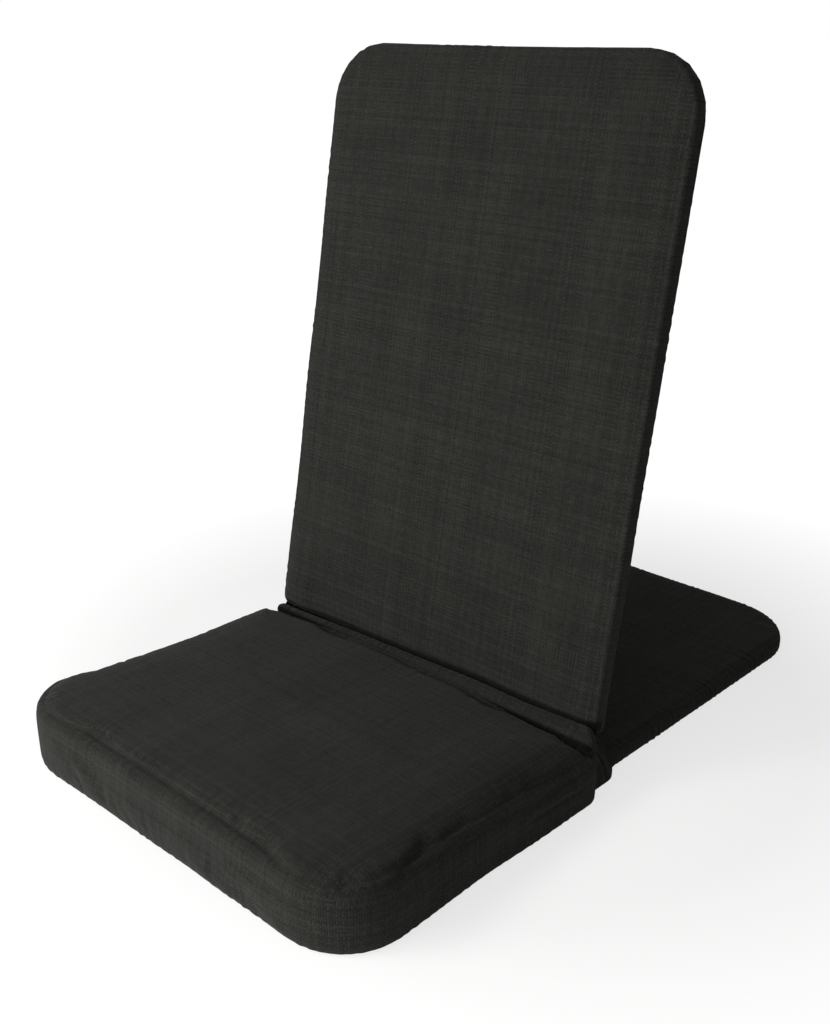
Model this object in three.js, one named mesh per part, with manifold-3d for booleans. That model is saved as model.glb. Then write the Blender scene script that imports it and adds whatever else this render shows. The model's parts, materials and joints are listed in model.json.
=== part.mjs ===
// Folding floor chair: a flat steel base frame with a seat cushion in front and a thin upholstered
// tail behind, and a long back panel that folds forward onto the seat about a rod in the crease.
// Millimetres, +X to the sitter's left seen from the front, +Y to the rear, +Z up. The origin is the
// middle of the underside.

import * as THREE from 'three';
import { mergeVertices } from 'three/addons/utils/BufferGeometryUtils.js';
import Module from 'manifold-3d';

const wasm = await Module();
wasm.setup();

// Seat cushion, which stands out past the tail at each side
const seatOverhang = 24;
const seatDepth = 360;
const seatHeight = 69;
const seatFrontEdge = 66;
const seatRearEdge = 54;
const seatFrontRadius = 75;
const seatRearRadius = 22;
const seatRollWidth = 52;
const seatDrawIn = 3.5;
const seatSideDrop = 9;

// Tail, the thin panel on the floor behind the back
const tailWidth = 476;
const tailReach = 504;
const tailRearRadius = 96;
const tailFrontRadius = 4;
const tailRollWidth = 14;
const tailCrown = 0.6;
const tailMouthDepth = 6;

// Back panel
const backLength = 686;
const backTopRadius = 66;
const backBottomRadius = 10;
const backRollWidth = 30;
const backCrown = 3;
const backDrawIn = 1.2;
const backEdgePad = 1.5;
const foamOverTube = 4;
const recline = THREE.MathUtils.degToRad(10);

// Stock and fits
const fabric = 1.2;
const clearance = 0.3;
const tubeDiameter = 16;
const tubeWall = 1.5;
const plateThickness = 2.5;
const tubeSides = 12;
const cornerSteps = 5;
const cutOverrun = 5;

// Hinge
const rodDiameter = 6;
const bushWall = 0.8;
const eyeRadius = 7;
const axisBehindSeat = 7.6;
const axisHeight = 57.5;
const faceBehindAxis = 8.4;
const leafAboveAxis = 4;
const sleeveRadius = 6.6;
const capRadius = 6;
const capLength = 6;
const capWall = 1.2;
const stopPinDiameter = 8;
const stopLobeRadius = 8;
const stopHeadRadius = 6;
const stopHeadThickness = 1.8;
const washerThickness = 0.9;
const riserFootLength = 62;
const riserFootRadius = 7;
const armLength = 78;
const armCornerRadius = 6;
const armSlotGap = 0.6;

// Rivets, splices and plugs
const rivetDiameter = 4;
const rivetHeadRadius = 3.8;
const rivetHeadHeight = 1.8;
const rivetTail = 1.2;
const rivetEdge = 6;
const rivetSides = 8;
const spliceLength = 90;
const splicePastAxis = 3.4;
const plugFlange = 2;
const plugStem = 12;
const crossTubeSetback = 9;
const backCrossHeight = 112;
const tubeOverhang = 16.5;
const foamNotchMargin = 4;
const padGap = 1;
const hingeFoamNotch = 90;

// Worked out from the sizes above
const tubeRadius = tubeDiameter / 2;
const skin = fabric + clearance;
const baseTubeZ = skin + tubeRadius;
const tailHeight = 2 * baseTubeZ;
const seatWidth = tailWidth + 2 * seatOverhang;
const seatRearY = (seatDepth - tailReach) / 2;
const seatFrontY = seatRearY - seatDepth;
const tailRearY = seatRearY + tailReach;
const tailFrontY = seatRearY + 2 * clearance;
const baseTubeX = tailWidth / 2 - skin - tubeRadius;
const seatTubeFrontY = seatFrontY + tubeOverhang + skin + tubeRadius;
const tailTubeRearY = tailRearY - skin - tubeRadius;
const rodRadius = rodDiameter / 2;
const stopPinRadius = stopPinDiameter / 2;
const axisY = seatRearY + axisBehindSeat;
const spliceY = axisY + splicePastAxis - spliceLength / 2;
const crossTubeY = spliceY - spliceLength / 2 - crossTubeSetback;
const riserOuterX = baseTubeX - tubeRadius - clearance;
const riserInnerX = riserOuterX - plateThickness;
const armInnerX = riserOuterX + washerThickness + 2 * clearance;
const armOuterX = armInnerX + plateThickness;
const backTubeX = armOuterX + clearance + tubeRadius;
const backWidth = 2 * (backTubeX + tubeRadius + backEdgePad + skin);
const backThickness = tubeDiameter + 2 * (foamOverTube + skin);
const leafMiddle = faceBehindAxis + backThickness / 2;
const leafTop = leafAboveAxis + backLength;
const legEndHeight = leafAboveAxis + backBottomRadius + plugFlange;
const stopPinDepth = leafMiddle;
const baseBend = tailRearRadius - skin - tubeRadius;
const backBend = backTopRadius - skin - backEdgePad - tubeRadius;
const stopPinDrop = eyeRadius + clearance + stopPinRadius;
const armRivetLow = legEndHeight + plugStem + rivetEdge;
const armRivetHigh = armLength - tubeRadius - rivetEdge;
const armRivetHeights = [armRivetLow, armRivetHigh];

// Colours
const fabricColour = 0x2e2e2c;
const foamColour = 0xd9d3bd;
const steelColour = 0x1d1d1f;
const zincColour = 0xa9adb0;
const nylonColour = 0xe6e4dc;
const plasticColour = 0x161616;

const fabricFinish = { color: fabricColour, roughness: 0.95, metalness: 0 };
const foamFinish = { color: foamColour, roughness: 1, metalness: 0 };
const steelFinish = { color: steelColour, roughness: 0.5, metalness: 0.4 };
const zincFinish = { color: zincColour, roughness: 0.35, metalness: 1 };
const nylonFinish = { color: nylonColour, roughness: 0.5, metalness: 0 };
const plasticFinish = { color: plasticColour, roughness: 0.6, metalness: 0 };

// A closed geometry as a solid that can be cut
function solid(geometry) {
  const bare = geometry.clone();
  bare.deleteAttribute('normal');
  bare.deleteAttribute('uv');
  const merged = mergeVertices(bare);
  const index = new Uint32Array(merged.index.array);
  const points = new Float32Array(merged.attributes.position.array);
  return new wasm.Manifold(new wasm.Mesh({ numProp: 3, vertProperties: points, triVerts: index }));
}

// A cut solid as a geometry again
function geometryOf(body) {
  const mesh = body.getMesh();
  const geometry = new THREE.BufferGeometry();
  geometry.setAttribute('position', new THREE.BufferAttribute(mesh.vertProperties, mesh.numProp));
  geometry.setIndex(new THREE.BufferAttribute(mesh.triVerts, 1));
  const faceted = geometry.toNonIndexed();
  faceted.computeVertexNormals();
  return faceted;
}

function cut(body, tools) {
  let result = body;
  for (const tool of tools) {
    result = result.subtract(tool);
  }
  return result;
}

// The radius that clears a round piece of the given radius on a bore drawn with flat sides
function boreRadius(radius, sides) {
  return (radius + clearance) / Math.cos(Math.PI / sides);
}

const at = (x, y, z) => new THREE.Vector3(x, y, z);

// A box between two opposite corners
function boxSolid(corner, opposite) {
  const box = new THREE.Box3().setFromPoints([corner, opposite]);
  const size = box.getSize(at(0, 0, 0));
  const middle = box.getCenter(at(0, 0, 0));
  const geometry = new THREE.BoxGeometry(size.x, size.y, size.z);
  geometry.translate(middle.x, middle.y, middle.z);
  return solid(geometry);
}

// A plate outline drawn in depth (Y) and height (Z), as thick as given along X from startX
function plateGeometry(shape, startX, thickness, curveSegments) {
  const options = { depth: thickness, bevelEnabled: false, curveSegments };
  const geometry = new THREE.ExtrudeGeometry(shape, options);
  const across = new THREE.Matrix4().makeBasis(at(0, 1, 0), at(0, 0, 1), at(1, 0, 0));
  geometry.applyMatrix4(across);
  geometry.translate(startX, 0, 0);
  return geometry;
}

// A turned piece along X: the profile lists radius and distance, side is +1 or -1 along X
function turnedGeometry(profile, startX, side, y, z, sides) {
  const points = profile.map(([radius, along]) => new THREE.Vector2(radius, along));
  const geometry = new THREE.LatheGeometry(points, sides);
  geometry.rotateZ(-Math.PI / 2);
  if (side < 0) {
    geometry.rotateY(Math.PI);
  }
  geometry.translate(startX, y, z);
  return geometry;
}

// The tool that drills a round hole along X
function drill(radius, startX, endX, y, z, sides) {
  const low = Math.min(startX, endX);
  const length = Math.abs(endX - startX);
  const bore = boreRadius(radius, sides);
  const profile = [[0, 0], [bore, 0], [bore, length], [0, length]];
  return solid(turnedGeometry(profile, low, 1, y, z, sides));
}

// A path of straights and arcs that has its steps only where it bends
class BentPath extends THREE.Curve {
  constructor(stations) {
    super();
    this.stations = stations;
  }

  between(t, key) {
    const place = t * (this.stations.length - 1);
    const first = Math.min(Math.floor(place), this.stations.length - 2);
    return new THREE.Vector3().lerpVectors(
      this.stations[first][key],
      this.stations[first + 1][key],
      place - first,
    );
  }

  getPoint(t) {
    return this.between(t, 'point');
  }

  getPointAt(t) {
    return this.between(t, 'point');
  }

  getTangent(t) {
    return this.between(t, 'tangent').normalize();
  }

  getTangentAt(t) {
    return this.between(t, 'tangent').normalize();
  }
}

// A U path: from one open end along a leg, round two bends and back along the other leg. The legs
// are at plus and minus halfWidth, open at openAlong, and the far run is at farAlong. The function
// place turns (across, along) into a point.
function uPath(halfWidth, openAlong, farAlong, bend, place) {
  const sense = Math.sign(farAlong - openAlong);
  const stations = [];
  const station = (across, along, acrossStep, alongStep) => {
    const tangent = place(acrossStep, alongStep).sub(place(0, 0));
    stations.push({ point: place(across, along), tangent });
  };
  station(halfWidth, openAlong, 0, sense);
  for (let corner = 0; corner < 2; corner += 1) {
    const centre = corner === 0 ? halfWidth - bend : bend - halfWidth;
    for (let step = 0; step <= cornerSteps; step += 1) {
      const angle = (corner + step / cornerSteps) * Math.PI / 2;
      const across = centre + bend * Math.cos(angle);
      const along = farAlong - sense * bend + sense * bend * Math.sin(angle);
      station(across, along, -Math.sin(angle), sense * Math.cos(angle));
    }
  }
  station(-halfWidth, openAlong, 0, -sense);
  return new BentPath(stations);
}

function ringShape(outerRadius, innerRadius, sides) {
  const shape = new THREE.Shape();
  const hole = new THREE.Path();
  for (let side = 0; side < sides; side += 1) {
    const angle = (2 * Math.PI * side) / sides;
    const outer = [outerRadius * Math.cos(angle), outerRadius * Math.sin(angle)];
    const inner = [innerRadius * Math.cos(-angle), innerRadius * Math.sin(-angle)];
    if (side === 0) {
      shape.moveTo(...outer);
      hole.moveTo(...inner);
    } else {
      shape.lineTo(...outer);
      hole.lineTo(...inner);
    }
  }
  if (innerRadius > 0) {
    shape.holes.push(hole);
  }
  return shape;
}

function sweep(shape, path) {
  const steps = path.stations.length - 1;
  return new THREE.ExtrudeGeometry(shape, { steps, bevelEnabled: false, extrudePath: path });
}

function straightPath(start, end) {
  const tangent = new THREE.Vector3().subVectors(end, start).normalize();
  return new BentPath([{ point: start, tangent }, { point: end, tangent }]);
}

// The section of a foam groove for a tube on the base: round over the tube and open downwards,
// which is +X in the section of a path that starts along Y or X
function grooveShape(radius, depth) {
  const grooveRadius = boreRadius(radius, tubeSides);
  const shape = new THREE.Shape();
  shape.moveTo(depth, grooveRadius);
  for (let step = 0; step <= tubeSides / 2; step += 1) {
    const angle = Math.PI / 2 + (2 * Math.PI * step) / tubeSides;
    shape.lineTo(grooveRadius * Math.cos(angle), grooveRadius * Math.sin(angle));
  }
  shape.lineTo(depth, -grooveRadius);
  return shape;
}

// The outline of a panel seen from above, a rounded rectangle whose sides are drawn in between its
// corners, moved inwards by inset. Points run anticlockwise and carry their outward direction.
const cornerFloorShare = 0.3;

function panelOutline(panel, inset) {
  const halfWidth = panel.halfWidth - inset;
  const nearY = panel.nearY + inset;
  const farY = panel.farY - inset;
  const nearRadius = Math.max(panel.nearRadius - inset, panel.nearRadius * cornerFloorShare);
  const farRadius = Math.max(panel.farRadius - inset, panel.farRadius * cornerFloorShare);
  const drawIn = panel.drawIn * Math.max(0, 1 - inset / panel.rollWidth);
  const corners = [
    { x: halfWidth - farRadius, y: farY - farRadius, radius: farRadius, start: 0 },
    { x: farRadius - halfWidth, y: farY - farRadius, radius: farRadius, start: 1 },
    { x: nearRadius - halfWidth, y: nearY + nearRadius, radius: nearRadius, start: 2 },
    { x: halfWidth - nearRadius, y: nearY + nearRadius, radius: nearRadius, start: 3 },
  ];
  const points = [];
  corners.forEach((corner, number) => {
    for (let step = 0; step <= cornerSteps; step += 1) {
      const angle = (corner.start + step / cornerSteps) * Math.PI / 2;
      const nx = Math.cos(angle);
      const ny = Math.sin(angle);
      points.push({ x: corner.x + corner.radius * nx, y: corner.y + corner.radius * ny, nx, ny });
    }
    const last = points[points.length - 1];
    const next = corners[(number + 1) % corners.length];
    const nextX = next.x + next.radius * last.nx;
    const nextY = next.y + next.radius * last.ny;
    const sideSteps = number % 2 === 0 ? panel.endSteps : panel.sideSteps;
    for (let step = 1; step < sideSteps; step += 1) {
      const share = step / sideSteps;
      const pull = drawIn * Math.sin(Math.PI * share);
      points.push({
        x: last.x + (nextX - last.x) * share - last.nx * pull,
        y: last.y + (nextY - last.y) * share - last.ny * pull,
        nx: last.nx,
        ny: last.ny,
      });
    }
  });
  return points;
}

// A closed cushion or cover form. Each ring has an inset as a share of the roll's width, a height as
// a share of the edge height, a share of the crown, and a share of the panel's drop. The form is
// smaller by shrink all round, for what lies inside a cover.
function panelForm(panel, shrink) {
  const positions = [];
  const index = [];
  const middleY = (panel.nearY + panel.farY) / 2;
  const rings = panel.ringShares;
  const heightAt = (point, ring) => {
    const edge = panel.edge(point) - panel.drop(point) * ring[3];
    return panel.base + shrink + (edge - 2 * shrink) * ring[1] + panel.crown * ring[2];
  };
  const middle = { x: 0, y: middleY, nx: 0, ny: 0 };
  positions.push(0, middleY, heightAt(middle, [0, 0, panel.underCrownShare, 0]));
  let count = 0;
  rings.forEach((ring) => {
    const points = panelOutline(panel, ring[0] * panel.rollWidth + shrink);
    count = points.length;
    points.forEach((point) => positions.push(point.x, point.y, heightAt(point, ring)));
  });
  positions.push(0, middleY, heightAt(middle, [0, 1, 1, 0]));
  const top = 1 + rings.length * count;
  for (let side = 0; side < count; side += 1) {
    const next = (side + 1) % count;
    index.push(0, 1 + next, 1 + side);
    for (let ring = 0; ring + 1 < rings.length; ring += 1) {
      const low = 1 + ring * count;
      const high = low + count;
      index.push(low + side, low + next, high + next, low + side, high + next, high + side);
    }
    const lastRing = top - count;
    index.push(lastRing + side, lastRing + next, top);
  }
  const geometry = new THREE.BufferGeometry();
  geometry.setAttribute('position', new THREE.Float32BufferAttribute(positions, 3));
  geometry.setIndex(index);
  return geometry;
}

const none = () => 0;

// The seat's edge gets lower to the rear, and its sides roll down more there
const sideDropStartShare = 0.35;
const sideDropPower = 4;
const seatPanel = {
  halfWidth: seatWidth / 2,
  nearY: seatFrontY,
  farY: seatRearY,
  nearRadius: seatFrontRadius,
  farRadius: seatRearRadius,
  rollWidth: seatRollWidth,
  drawIn: seatDrawIn,
  endSteps: 5,
  sideSteps: 6,
  base: 0,
  crown: seatHeight - (seatFrontEdge + seatRearEdge) / 2,
  underCrownShare: 0,
  edge: (point) => {
    const share = (point.y - seatFrontY) / seatDepth;
    return seatFrontEdge + (seatRearEdge - seatFrontEdge) * share;
  },
  drop: (point) => {
    const share = (point.y - seatFrontY) / seatDepth;
    const towardsSide = Math.abs(2 * point.x / seatWidth) ** sideDropPower;
    return seatSideDrop * towardsSide * THREE.MathUtils.smoothstep(share, sideDropStartShare, 1);
  },
  ringShares: [
    [0.1, 0, 0, 0],
    [0.01, 0.09, 0, 0],
    [0, 0.4, 0, 0.4],
    [0.03, 0.88, 0, 1],
    [0.14, 1, 0, 1],
    [0.46, 1, 0.45, 0.6],
    [1, 1, 0.75, 0.25],
    [2.3, 1, 0.95, 0],
  ],
};

const tailPanel = {
  halfWidth: tailWidth / 2,
  nearY: tailFrontY,
  farY: tailRearY,
  nearRadius: tailFrontRadius,
  farRadius: tailRearRadius,
  rollWidth: tailRollWidth,
  drawIn: 0,
  endSteps: 3,
  sideSteps: 4,
  base: 0,
  crown: tailCrown,
  underCrownShare: 0,
  edge: () => tailHeight,
  drop: none,
  ringShares: [
    [0.22, 0, 0, 0],
    [0, 0.26, 0, 0],
    [0, 0.72, 0, 0],
    [0.2, 0.98, 0, 0],
    [1, 1, 0.6, 0],
  ],
};

// The back panel lies flat here, with its bottom edge nearest and its front face up
const backPanel = {
  halfWidth: backWidth / 2,
  nearY: leafAboveAxis,
  farY: leafTop,
  nearRadius: backBottomRadius,
  farRadius: backTopRadius,
  rollWidth: backRollWidth,
  drawIn: backDrawIn,
  endSteps: 4,
  sideSteps: 5,
  base: backCrown - faceBehindAxis - backThickness,
  crown: backCrown,
  underCrownShare: -1,
  edge: () => backThickness - 2 * backCrown,
  drop: none,
  ringShares: [
    [1, 0, -0.7, 0],
    [0.1, 0, 0, 0],
    [0, 0.2, 0, 0],
    [0, 0.8, 0, 0],
    [0.1, 1, 0, 0],
    [1, 1, 0.7, 0],
  ],
};

function uprightLeaf(geometry) {
  return geometry.rotateX(Math.PI / 2);
}

const flatPlace = (across, along) => at(across, along, baseTubeZ);
const leafPlace = (across, along) => at(across, leafMiddle, along);
const tubeRing = ringShape(tubeRadius, tubeRadius - tubeWall, tubeSides);

const seatTubePath = uPath(baseTubeX, spliceY - clearance / 2, seatTubeFrontY, baseBend, flatPlace);
const tailTubePath = uPath(baseTubeX, spliceY + clearance / 2, tailTubeRearY, baseBend, flatPlace);
const backTubePath = uPath(
  backTubeX,
  legEndHeight + clearance,
  leafTop - skin - backEdgePad - tubeRadius,
  backBend,
  leafPlace,
);

// Places of the rivets along the base tubes and on the back's legs
const spliceRivetY = [spliceY - spliceLength / 4, spliceY + spliceLength / 4];
const riserRivetShares = [0.2, 0.75];
const riserRivetY = riserRivetShares.map((share) => axisY + riserFootLength * share);
const bothSides = [{ name: 'left', sign: 1 }, { name: 'right', sign: -1 }];

// Rivet holes through the inner wall of a tube, at both sides of the chair
function rivetDrills(tubeX, places, heightOf) {
  const drills = [];
  for (const side of bothSides) {
    for (const place of places) {
      const [y, z] = heightOf(place);
      const start = side.sign * (tubeX - tubeRadius - cutOverrun);
      drills.push(drill(rivetDiameter / 2, start, side.sign * tubeX, y, z, rivetSides));
    }
  }
  return drills;
}

const onBase = (y) => [y, baseTubeZ];
const onLeg = (height) => [leafMiddle, height];

const baseGroup = new THREE.Group();
const backGroup = new THREE.Group();
backGroup.position.set(0, axisY, axisHeight);
backGroup.rotation.x = -recline;

function add(group, name, geometry, finish) {
  const mesh = new THREE.Mesh(geometry, new THREE.MeshStandardMaterial(finish));
  mesh.name = name;
  group.add(mesh);
}

// Base frame tubes
function seatFrameTube() {
  const tube = solid(sweep(tubeRing, seatTubePath));
  return geometryOf(cut(tube, rivetDrills(baseTubeX, [spliceRivetY[0]], onBase)));
}

function tailFrameTube() {
  const tube = solid(sweep(tubeRing, tailTubePath));
  return geometryOf(cut(tube, rivetDrills(baseTubeX, [spliceRivetY[1], ...riserRivetY], onBase)));
}

function frameSplice(side) {
  const spliceRadius = tubeRadius - tubeWall - clearance;
  const ring = ringShape(spliceRadius, spliceRadius - tubeWall, tubeSides);
  const x = side.sign * baseTubeX;
  const start = at(x, spliceY - spliceLength / 2, baseTubeZ);
  const end = at(x, spliceY + spliceLength / 2, baseTubeZ);
  const tube = solid(sweep(ring, straightPath(start, end)));
  return geometryOf(cut(tube, rivetDrills(baseTubeX, spliceRivetY, onBase)));
}

// A straight tube across the chair whose ends are hollowed to fit the legs it meets
function crossTube(legX, y, z, legTool) {
  const ring = ringShape(tubeRadius - clearance, tubeRadius - tubeWall, tubeSides);
  const tube = solid(sweep(ring, straightPath(at(-legX, y, z), at(legX, y, z))));
  return geometryOf(cut(tube, [legTool]));
}

// The space that a bent tube takes, with its fit all round
function tubeSpace(path) {
  return solid(sweep(ringShape(boreRadius(tubeRadius, tubeSides), 0, tubeSides), path));
}

// The space for a base tube where it passes from the seat cushion into the tail
function baseTubeSpace(side) {
  const x = side.sign * baseTubeX;
  const mouth = tailFrontY + tailMouthDepth;
  return tubeSpace(straightPath(at(x, crossTubeY, baseTubeZ), at(x, mouth, baseTubeZ)));
}

// A domed rivet that goes in towards the tube from the middle of the chair. The dome's shoulder is
// at shares of the head's radius and height.
const rivetShoulderShares = [0.75, 0.7];

function rivetGeometry(side, headX, grip, y, z) {
  const shank = rivetDiameter / 2;
  const profile = [
    [0, -rivetHeadHeight],
    [rivetHeadRadius * rivetShoulderShares[0], -rivetHeadHeight * rivetShoulderShares[1]],
    [rivetHeadRadius, 0],
    [shank, 0],
    [shank, grip + rivetTail],
    [0, grip + rivetTail],
  ];
  return turnedGeometry(profile, side.sign * headX, side.sign, y, z, rivetSides);
}

// Hinge risers: plates on the base tubes that carry the rod and the stop pins
const stopPinY = axisY + stopPinDepth * Math.cos(recline) - stopPinDrop * Math.sin(recline);
const stopPinZ = axisHeight - stopPinDepth * Math.sin(recline) - stopPinDrop * Math.cos(recline);

// The convex outline round a set of circles
function roundedHull(circles, steps) {
  const points = [];
  for (const circle of circles) {
    for (let step = 0; step < steps; step += 1) {
      const angle = (2 * Math.PI * step) / steps;
      const y = circle.y + circle.radius * Math.cos(angle);
      const z = circle.z + circle.radius * Math.sin(angle);
      points.push([y, z]);
    }
  }
  points.sort((a, b) => a[0] - b[0] || a[1] - b[1]);
  const turn = (a, b, c) => (b[0] - a[0]) * (c[1] - a[1]) - (b[1] - a[1]) * (c[0] - a[0]);
  const half = (list) => {
    const chain = [];
    for (const point of list) {
      while (chain.length > 1 && turn(chain[chain.length - 2], chain[chain.length - 1], point) <= 0) {
        chain.pop();
      }
      chain.push(point);
    }
    chain.pop();
    return chain;
  };
  const hull = [...half(points), ...half([...points].reverse())];
  const shape = new THREE.Shape();
  hull.forEach((point, number) => (number === 0 ? shape.moveTo(...point) : shape.lineTo(...point)));
  return shape;
}

const hullSteps = 20;

function riserOutline(grow) {
  return roundedHull([
    { y: axisY, z: axisHeight, radius: eyeRadius + grow },
    { y: stopPinY, z: stopPinZ, radius: stopLobeRadius + grow },
    { y: axisY + clearance, z: baseTubeZ, radius: riserFootRadius + grow },
    { y: axisY + riserFootLength, z: baseTubeZ, radius: riserFootRadius + grow },
  ], hullSteps);
}

function hingeRiser(side) {
  const startX = side.sign > 0 ? riserInnerX : -riserOuterX;
  const plate = solid(plateGeometry(riserOutline(0), startX, plateThickness, hullSteps));
  const low = side.sign * (riserInnerX - cutOverrun);
  const high = side.sign * (riserOuterX + cutOverrun);
  const drills = [
    drill(rodRadius, low, high, axisY, axisHeight, tubeSides),
    drill(stopPinRadius, low, high, stopPinY, stopPinZ, tubeSides),
  ];
  for (const y of riserRivetY) {
    drills.push(drill(rivetDiameter / 2, low, high, y, baseTubeZ, rivetSides));
  }
  return geometryOf(cut(plate, drills));
}

function riserSpace(side) {
  const startX = side.sign > 0 ? riserInnerX - clearance : -riserOuterX - clearance;
  const thickness = plateThickness + 2 * clearance;
  return solid(plateGeometry(riserOutline(clearance), startX, thickness, hullSteps));
}

function stopPin(side) {
  const headX = riserInnerX - clearance;
  const profile = [
    [0, -stopHeadThickness],
    [stopHeadRadius, -stopHeadThickness],
    [stopHeadRadius, 0],
    [stopPinRadius, 0],
    [stopPinRadius, armOuterX - headX],
    [0, armOuterX - headX],
  ];
  return turnedGeometry(profile, side.sign * headX, side.sign, stopPinY, stopPinZ, tubeSides);
}

// Hinge rod, its caps, the washers and the fabric roll round it
const capStartX = armOuterX + clearance;
const rodEndX = capStartX + capLength - capWall - clearance;

function hingeRod() {
  const profile = [[0, 0], [rodRadius, 0], [rodRadius, 2 * rodEndX], [0, 2 * rodEndX]];
  return turnedGeometry(profile, -rodEndX, 1, axisY, axisHeight, tubeSides);
}

function rodCap(side) {
  const bore = boreRadius(rodRadius, tubeSides);
  const profile = [
    [bore, 0],
    [capRadius - capWall, 0],
    [capRadius, capWall],
    [capRadius, capLength - capWall],
    [capRadius - capWall, capLength],
    [0, capLength],
    [0, capLength - capWall],
    [bore, capLength - capWall],
    [bore, 0],
  ];
  return turnedGeometry(profile, side.sign * capStartX, side.sign, axisY, axisHeight, tubeSides);
}

function pivotWasher(side) {
  const start = riserOuterX + clearance;
  const bore = boreRadius(rodRadius, tubeSides);
  const profile = [
    [bore, 0],
    [eyeRadius, 0],
    [eyeRadius, washerThickness],
    [bore, washerThickness],
    [bore, 0],
  ];
  return turnedGeometry(profile, side.sign * start, side.sign, axisY, axisHeight, tubeSides);
}

function hingeSleeve() {
  const end = riserInnerX - clearance;
  const bore = boreRadius(rodRadius, tubeSides);
  const profile = [[bore, 0], [sleeveRadius, 0], [sleeveRadius, 2 * end], [bore, 2 * end], [bore, 0]];
  return turnedGeometry(profile, -end, 1, axisY, axisHeight, tubeSides);
}

// Seat cushion and its foam, which is grooved underneath for the frame
function seatCover() {
  const outer = solid(panelForm(seatPanel, 0));
  const inner = solid(panelForm(seatPanel, fabric));
  return geometryOf(cut(outer, [inner, ...bothSides.map(baseTubeSpace)]));
}

function seatFoam() {
  const foam = solid(panelForm(seatPanel, skin));
  const groove = grooveShape(tubeRadius, baseTubeZ + cutOverrun);
  const seatRun = uPath(baseTubeX, seatRearY + cutOverrun, seatTubeFrontY, baseBend, flatPlace);
  const cross = straightPath(flatPlace(-baseTubeX, crossTubeY), flatPlace(baseTubeX, crossTubeY));
  const tools = [solid(sweep(groove, seatRun)), solid(sweep(groove, cross))];
  const notchX = baseTubeX - tubeRadius - foamNotchMargin;
  const notchFrontY = seatRearY - hingeFoamNotch;
  const notchRearY = seatRearY + cutOverrun;
  for (const side of bothSides) {
    tools.push(boxSolid(
      at(side.sign * notchX, notchFrontY, -cutOverrun),
      at(side.sign * baseTubeX, notchRearY, baseTubeZ + tubeRadius),
    ));
  }
  return geometryOf(cut(foam, tools));
}

// Tail sleeve, open at its front end, slotted over the risers, and the pad inside its loop
function tailCover() {
  const outer = solid(panelForm(tailPanel, 0));
  const inner = solid(panelForm(tailPanel, fabric));
  const mouthX = tailWidth / 2 - skin - tailMouthDepth / 2;
  const mouth = boxSolid(
    at(-mouthX, tailFrontY - cutOverrun, fabric),
    at(mouthX, tailFrontY + tailMouthDepth, tailHeight - fabric),
  );
  const slots = [...bothSides.map(baseTubeSpace), ...bothSides.map(riserSpace)];
  return geometryOf(cut(outer, [inner, mouth, ...slots]));
}

function tailPad() {
  const halfWidth = baseTubeX - tubeRadius - padGap;
  const rearY = tailTubeRearY - tubeRadius - padGap;
  const neckX = riserInnerX - rivetHeadHeight - foamNotchMargin;
  const neckY = axisY + riserFootLength + riserFootRadius + foamNotchMargin;
  const startY = tailFrontY + skin;
  const radius = baseBend - tubeRadius - padGap;
  const shape = new THREE.Shape();
  shape.moveTo(-neckX, startY);
  shape.lineTo(neckX, startY);
  shape.lineTo(neckX, neckY);
  shape.lineTo(halfWidth, neckY);
  shape.absarc(halfWidth - radius, rearY - radius, radius, 0, Math.PI / 2, false);
  shape.absarc(radius - halfWidth, rearY - radius, radius, Math.PI / 2, Math.PI, false);
  shape.lineTo(-halfWidth, neckY);
  shape.lineTo(-neckX, neckY);
  const depth = tubeDiameter - clearance;
  const options = { depth, bevelEnabled: false, curveSegments: cornerSteps };
  const geometry = new THREE.ExtrudeGeometry(shape, options);
  geometry.translate(0, 0, skin);
  return geometry;
}

// Back frame
function backFrameTube() {
  const tube = solid(sweep(tubeRing, backTubePath));
  return geometryOf(cut(tube, rivetDrills(backTubeX, armRivetHeights, onLeg)));
}

function legPlug(side) {
  const stemRadius = tubeRadius - tubeWall - clearance;
  const profile = [
    [0, 0],
    [tubeRadius - plugFlange / 2, 0],
    [tubeRadius, plugFlange],
    [stemRadius, plugFlange],
    [stemRadius, plugFlange + plugStem],
    [0, plugFlange + plugStem],
  ];
  const points = profile.map(([radius, along]) => new THREE.Vector2(radius, along));
  const geometry = new THREE.LatheGeometry(points, tubeSides);
  geometry.rotateX(Math.PI / 2);
  geometry.translate(side.sign * backTubeX, leafMiddle, legEndHeight - plugFlange);
  return geometry;
}

// The L-shaped arm: an eye on the rod, a bar under the panel that rests on the stop pin, and a leg
// that goes up inside the cover along the tube. Drawn in depth behind the axis and height above it.
function armOutline(grow) {
  const legRadius = tubeRadius + grow;
  const legTop = armLength - tubeRadius;
  const near = leafMiddle - legRadius;
  const far = leafMiddle + legRadius;
  const barTop = leafAboveAxis - armSlotGap + grow;
  const eye = eyeRadius + grow;
  const cornerY = far - armCornerRadius;
  const shape = new THREE.Shape();
  shape.moveTo(0, -eye);
  shape.lineTo(cornerY, -eye);
  shape.absarc(cornerY, armCornerRadius - eye, armCornerRadius, -Math.PI / 2, 0, false);
  shape.lineTo(far, legTop);
  shape.absarc(leafMiddle, legTop, legRadius, 0, Math.PI, false);
  shape.lineTo(near, barTop);
  shape.lineTo(Math.sqrt(eye * eye - barTop * barTop), barTop);
  shape.absarc(0, 0, eye, Math.asin(barTop / eye), Math.PI * 1.5, false);
  return shape;
}

const armSegments = 10;

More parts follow.
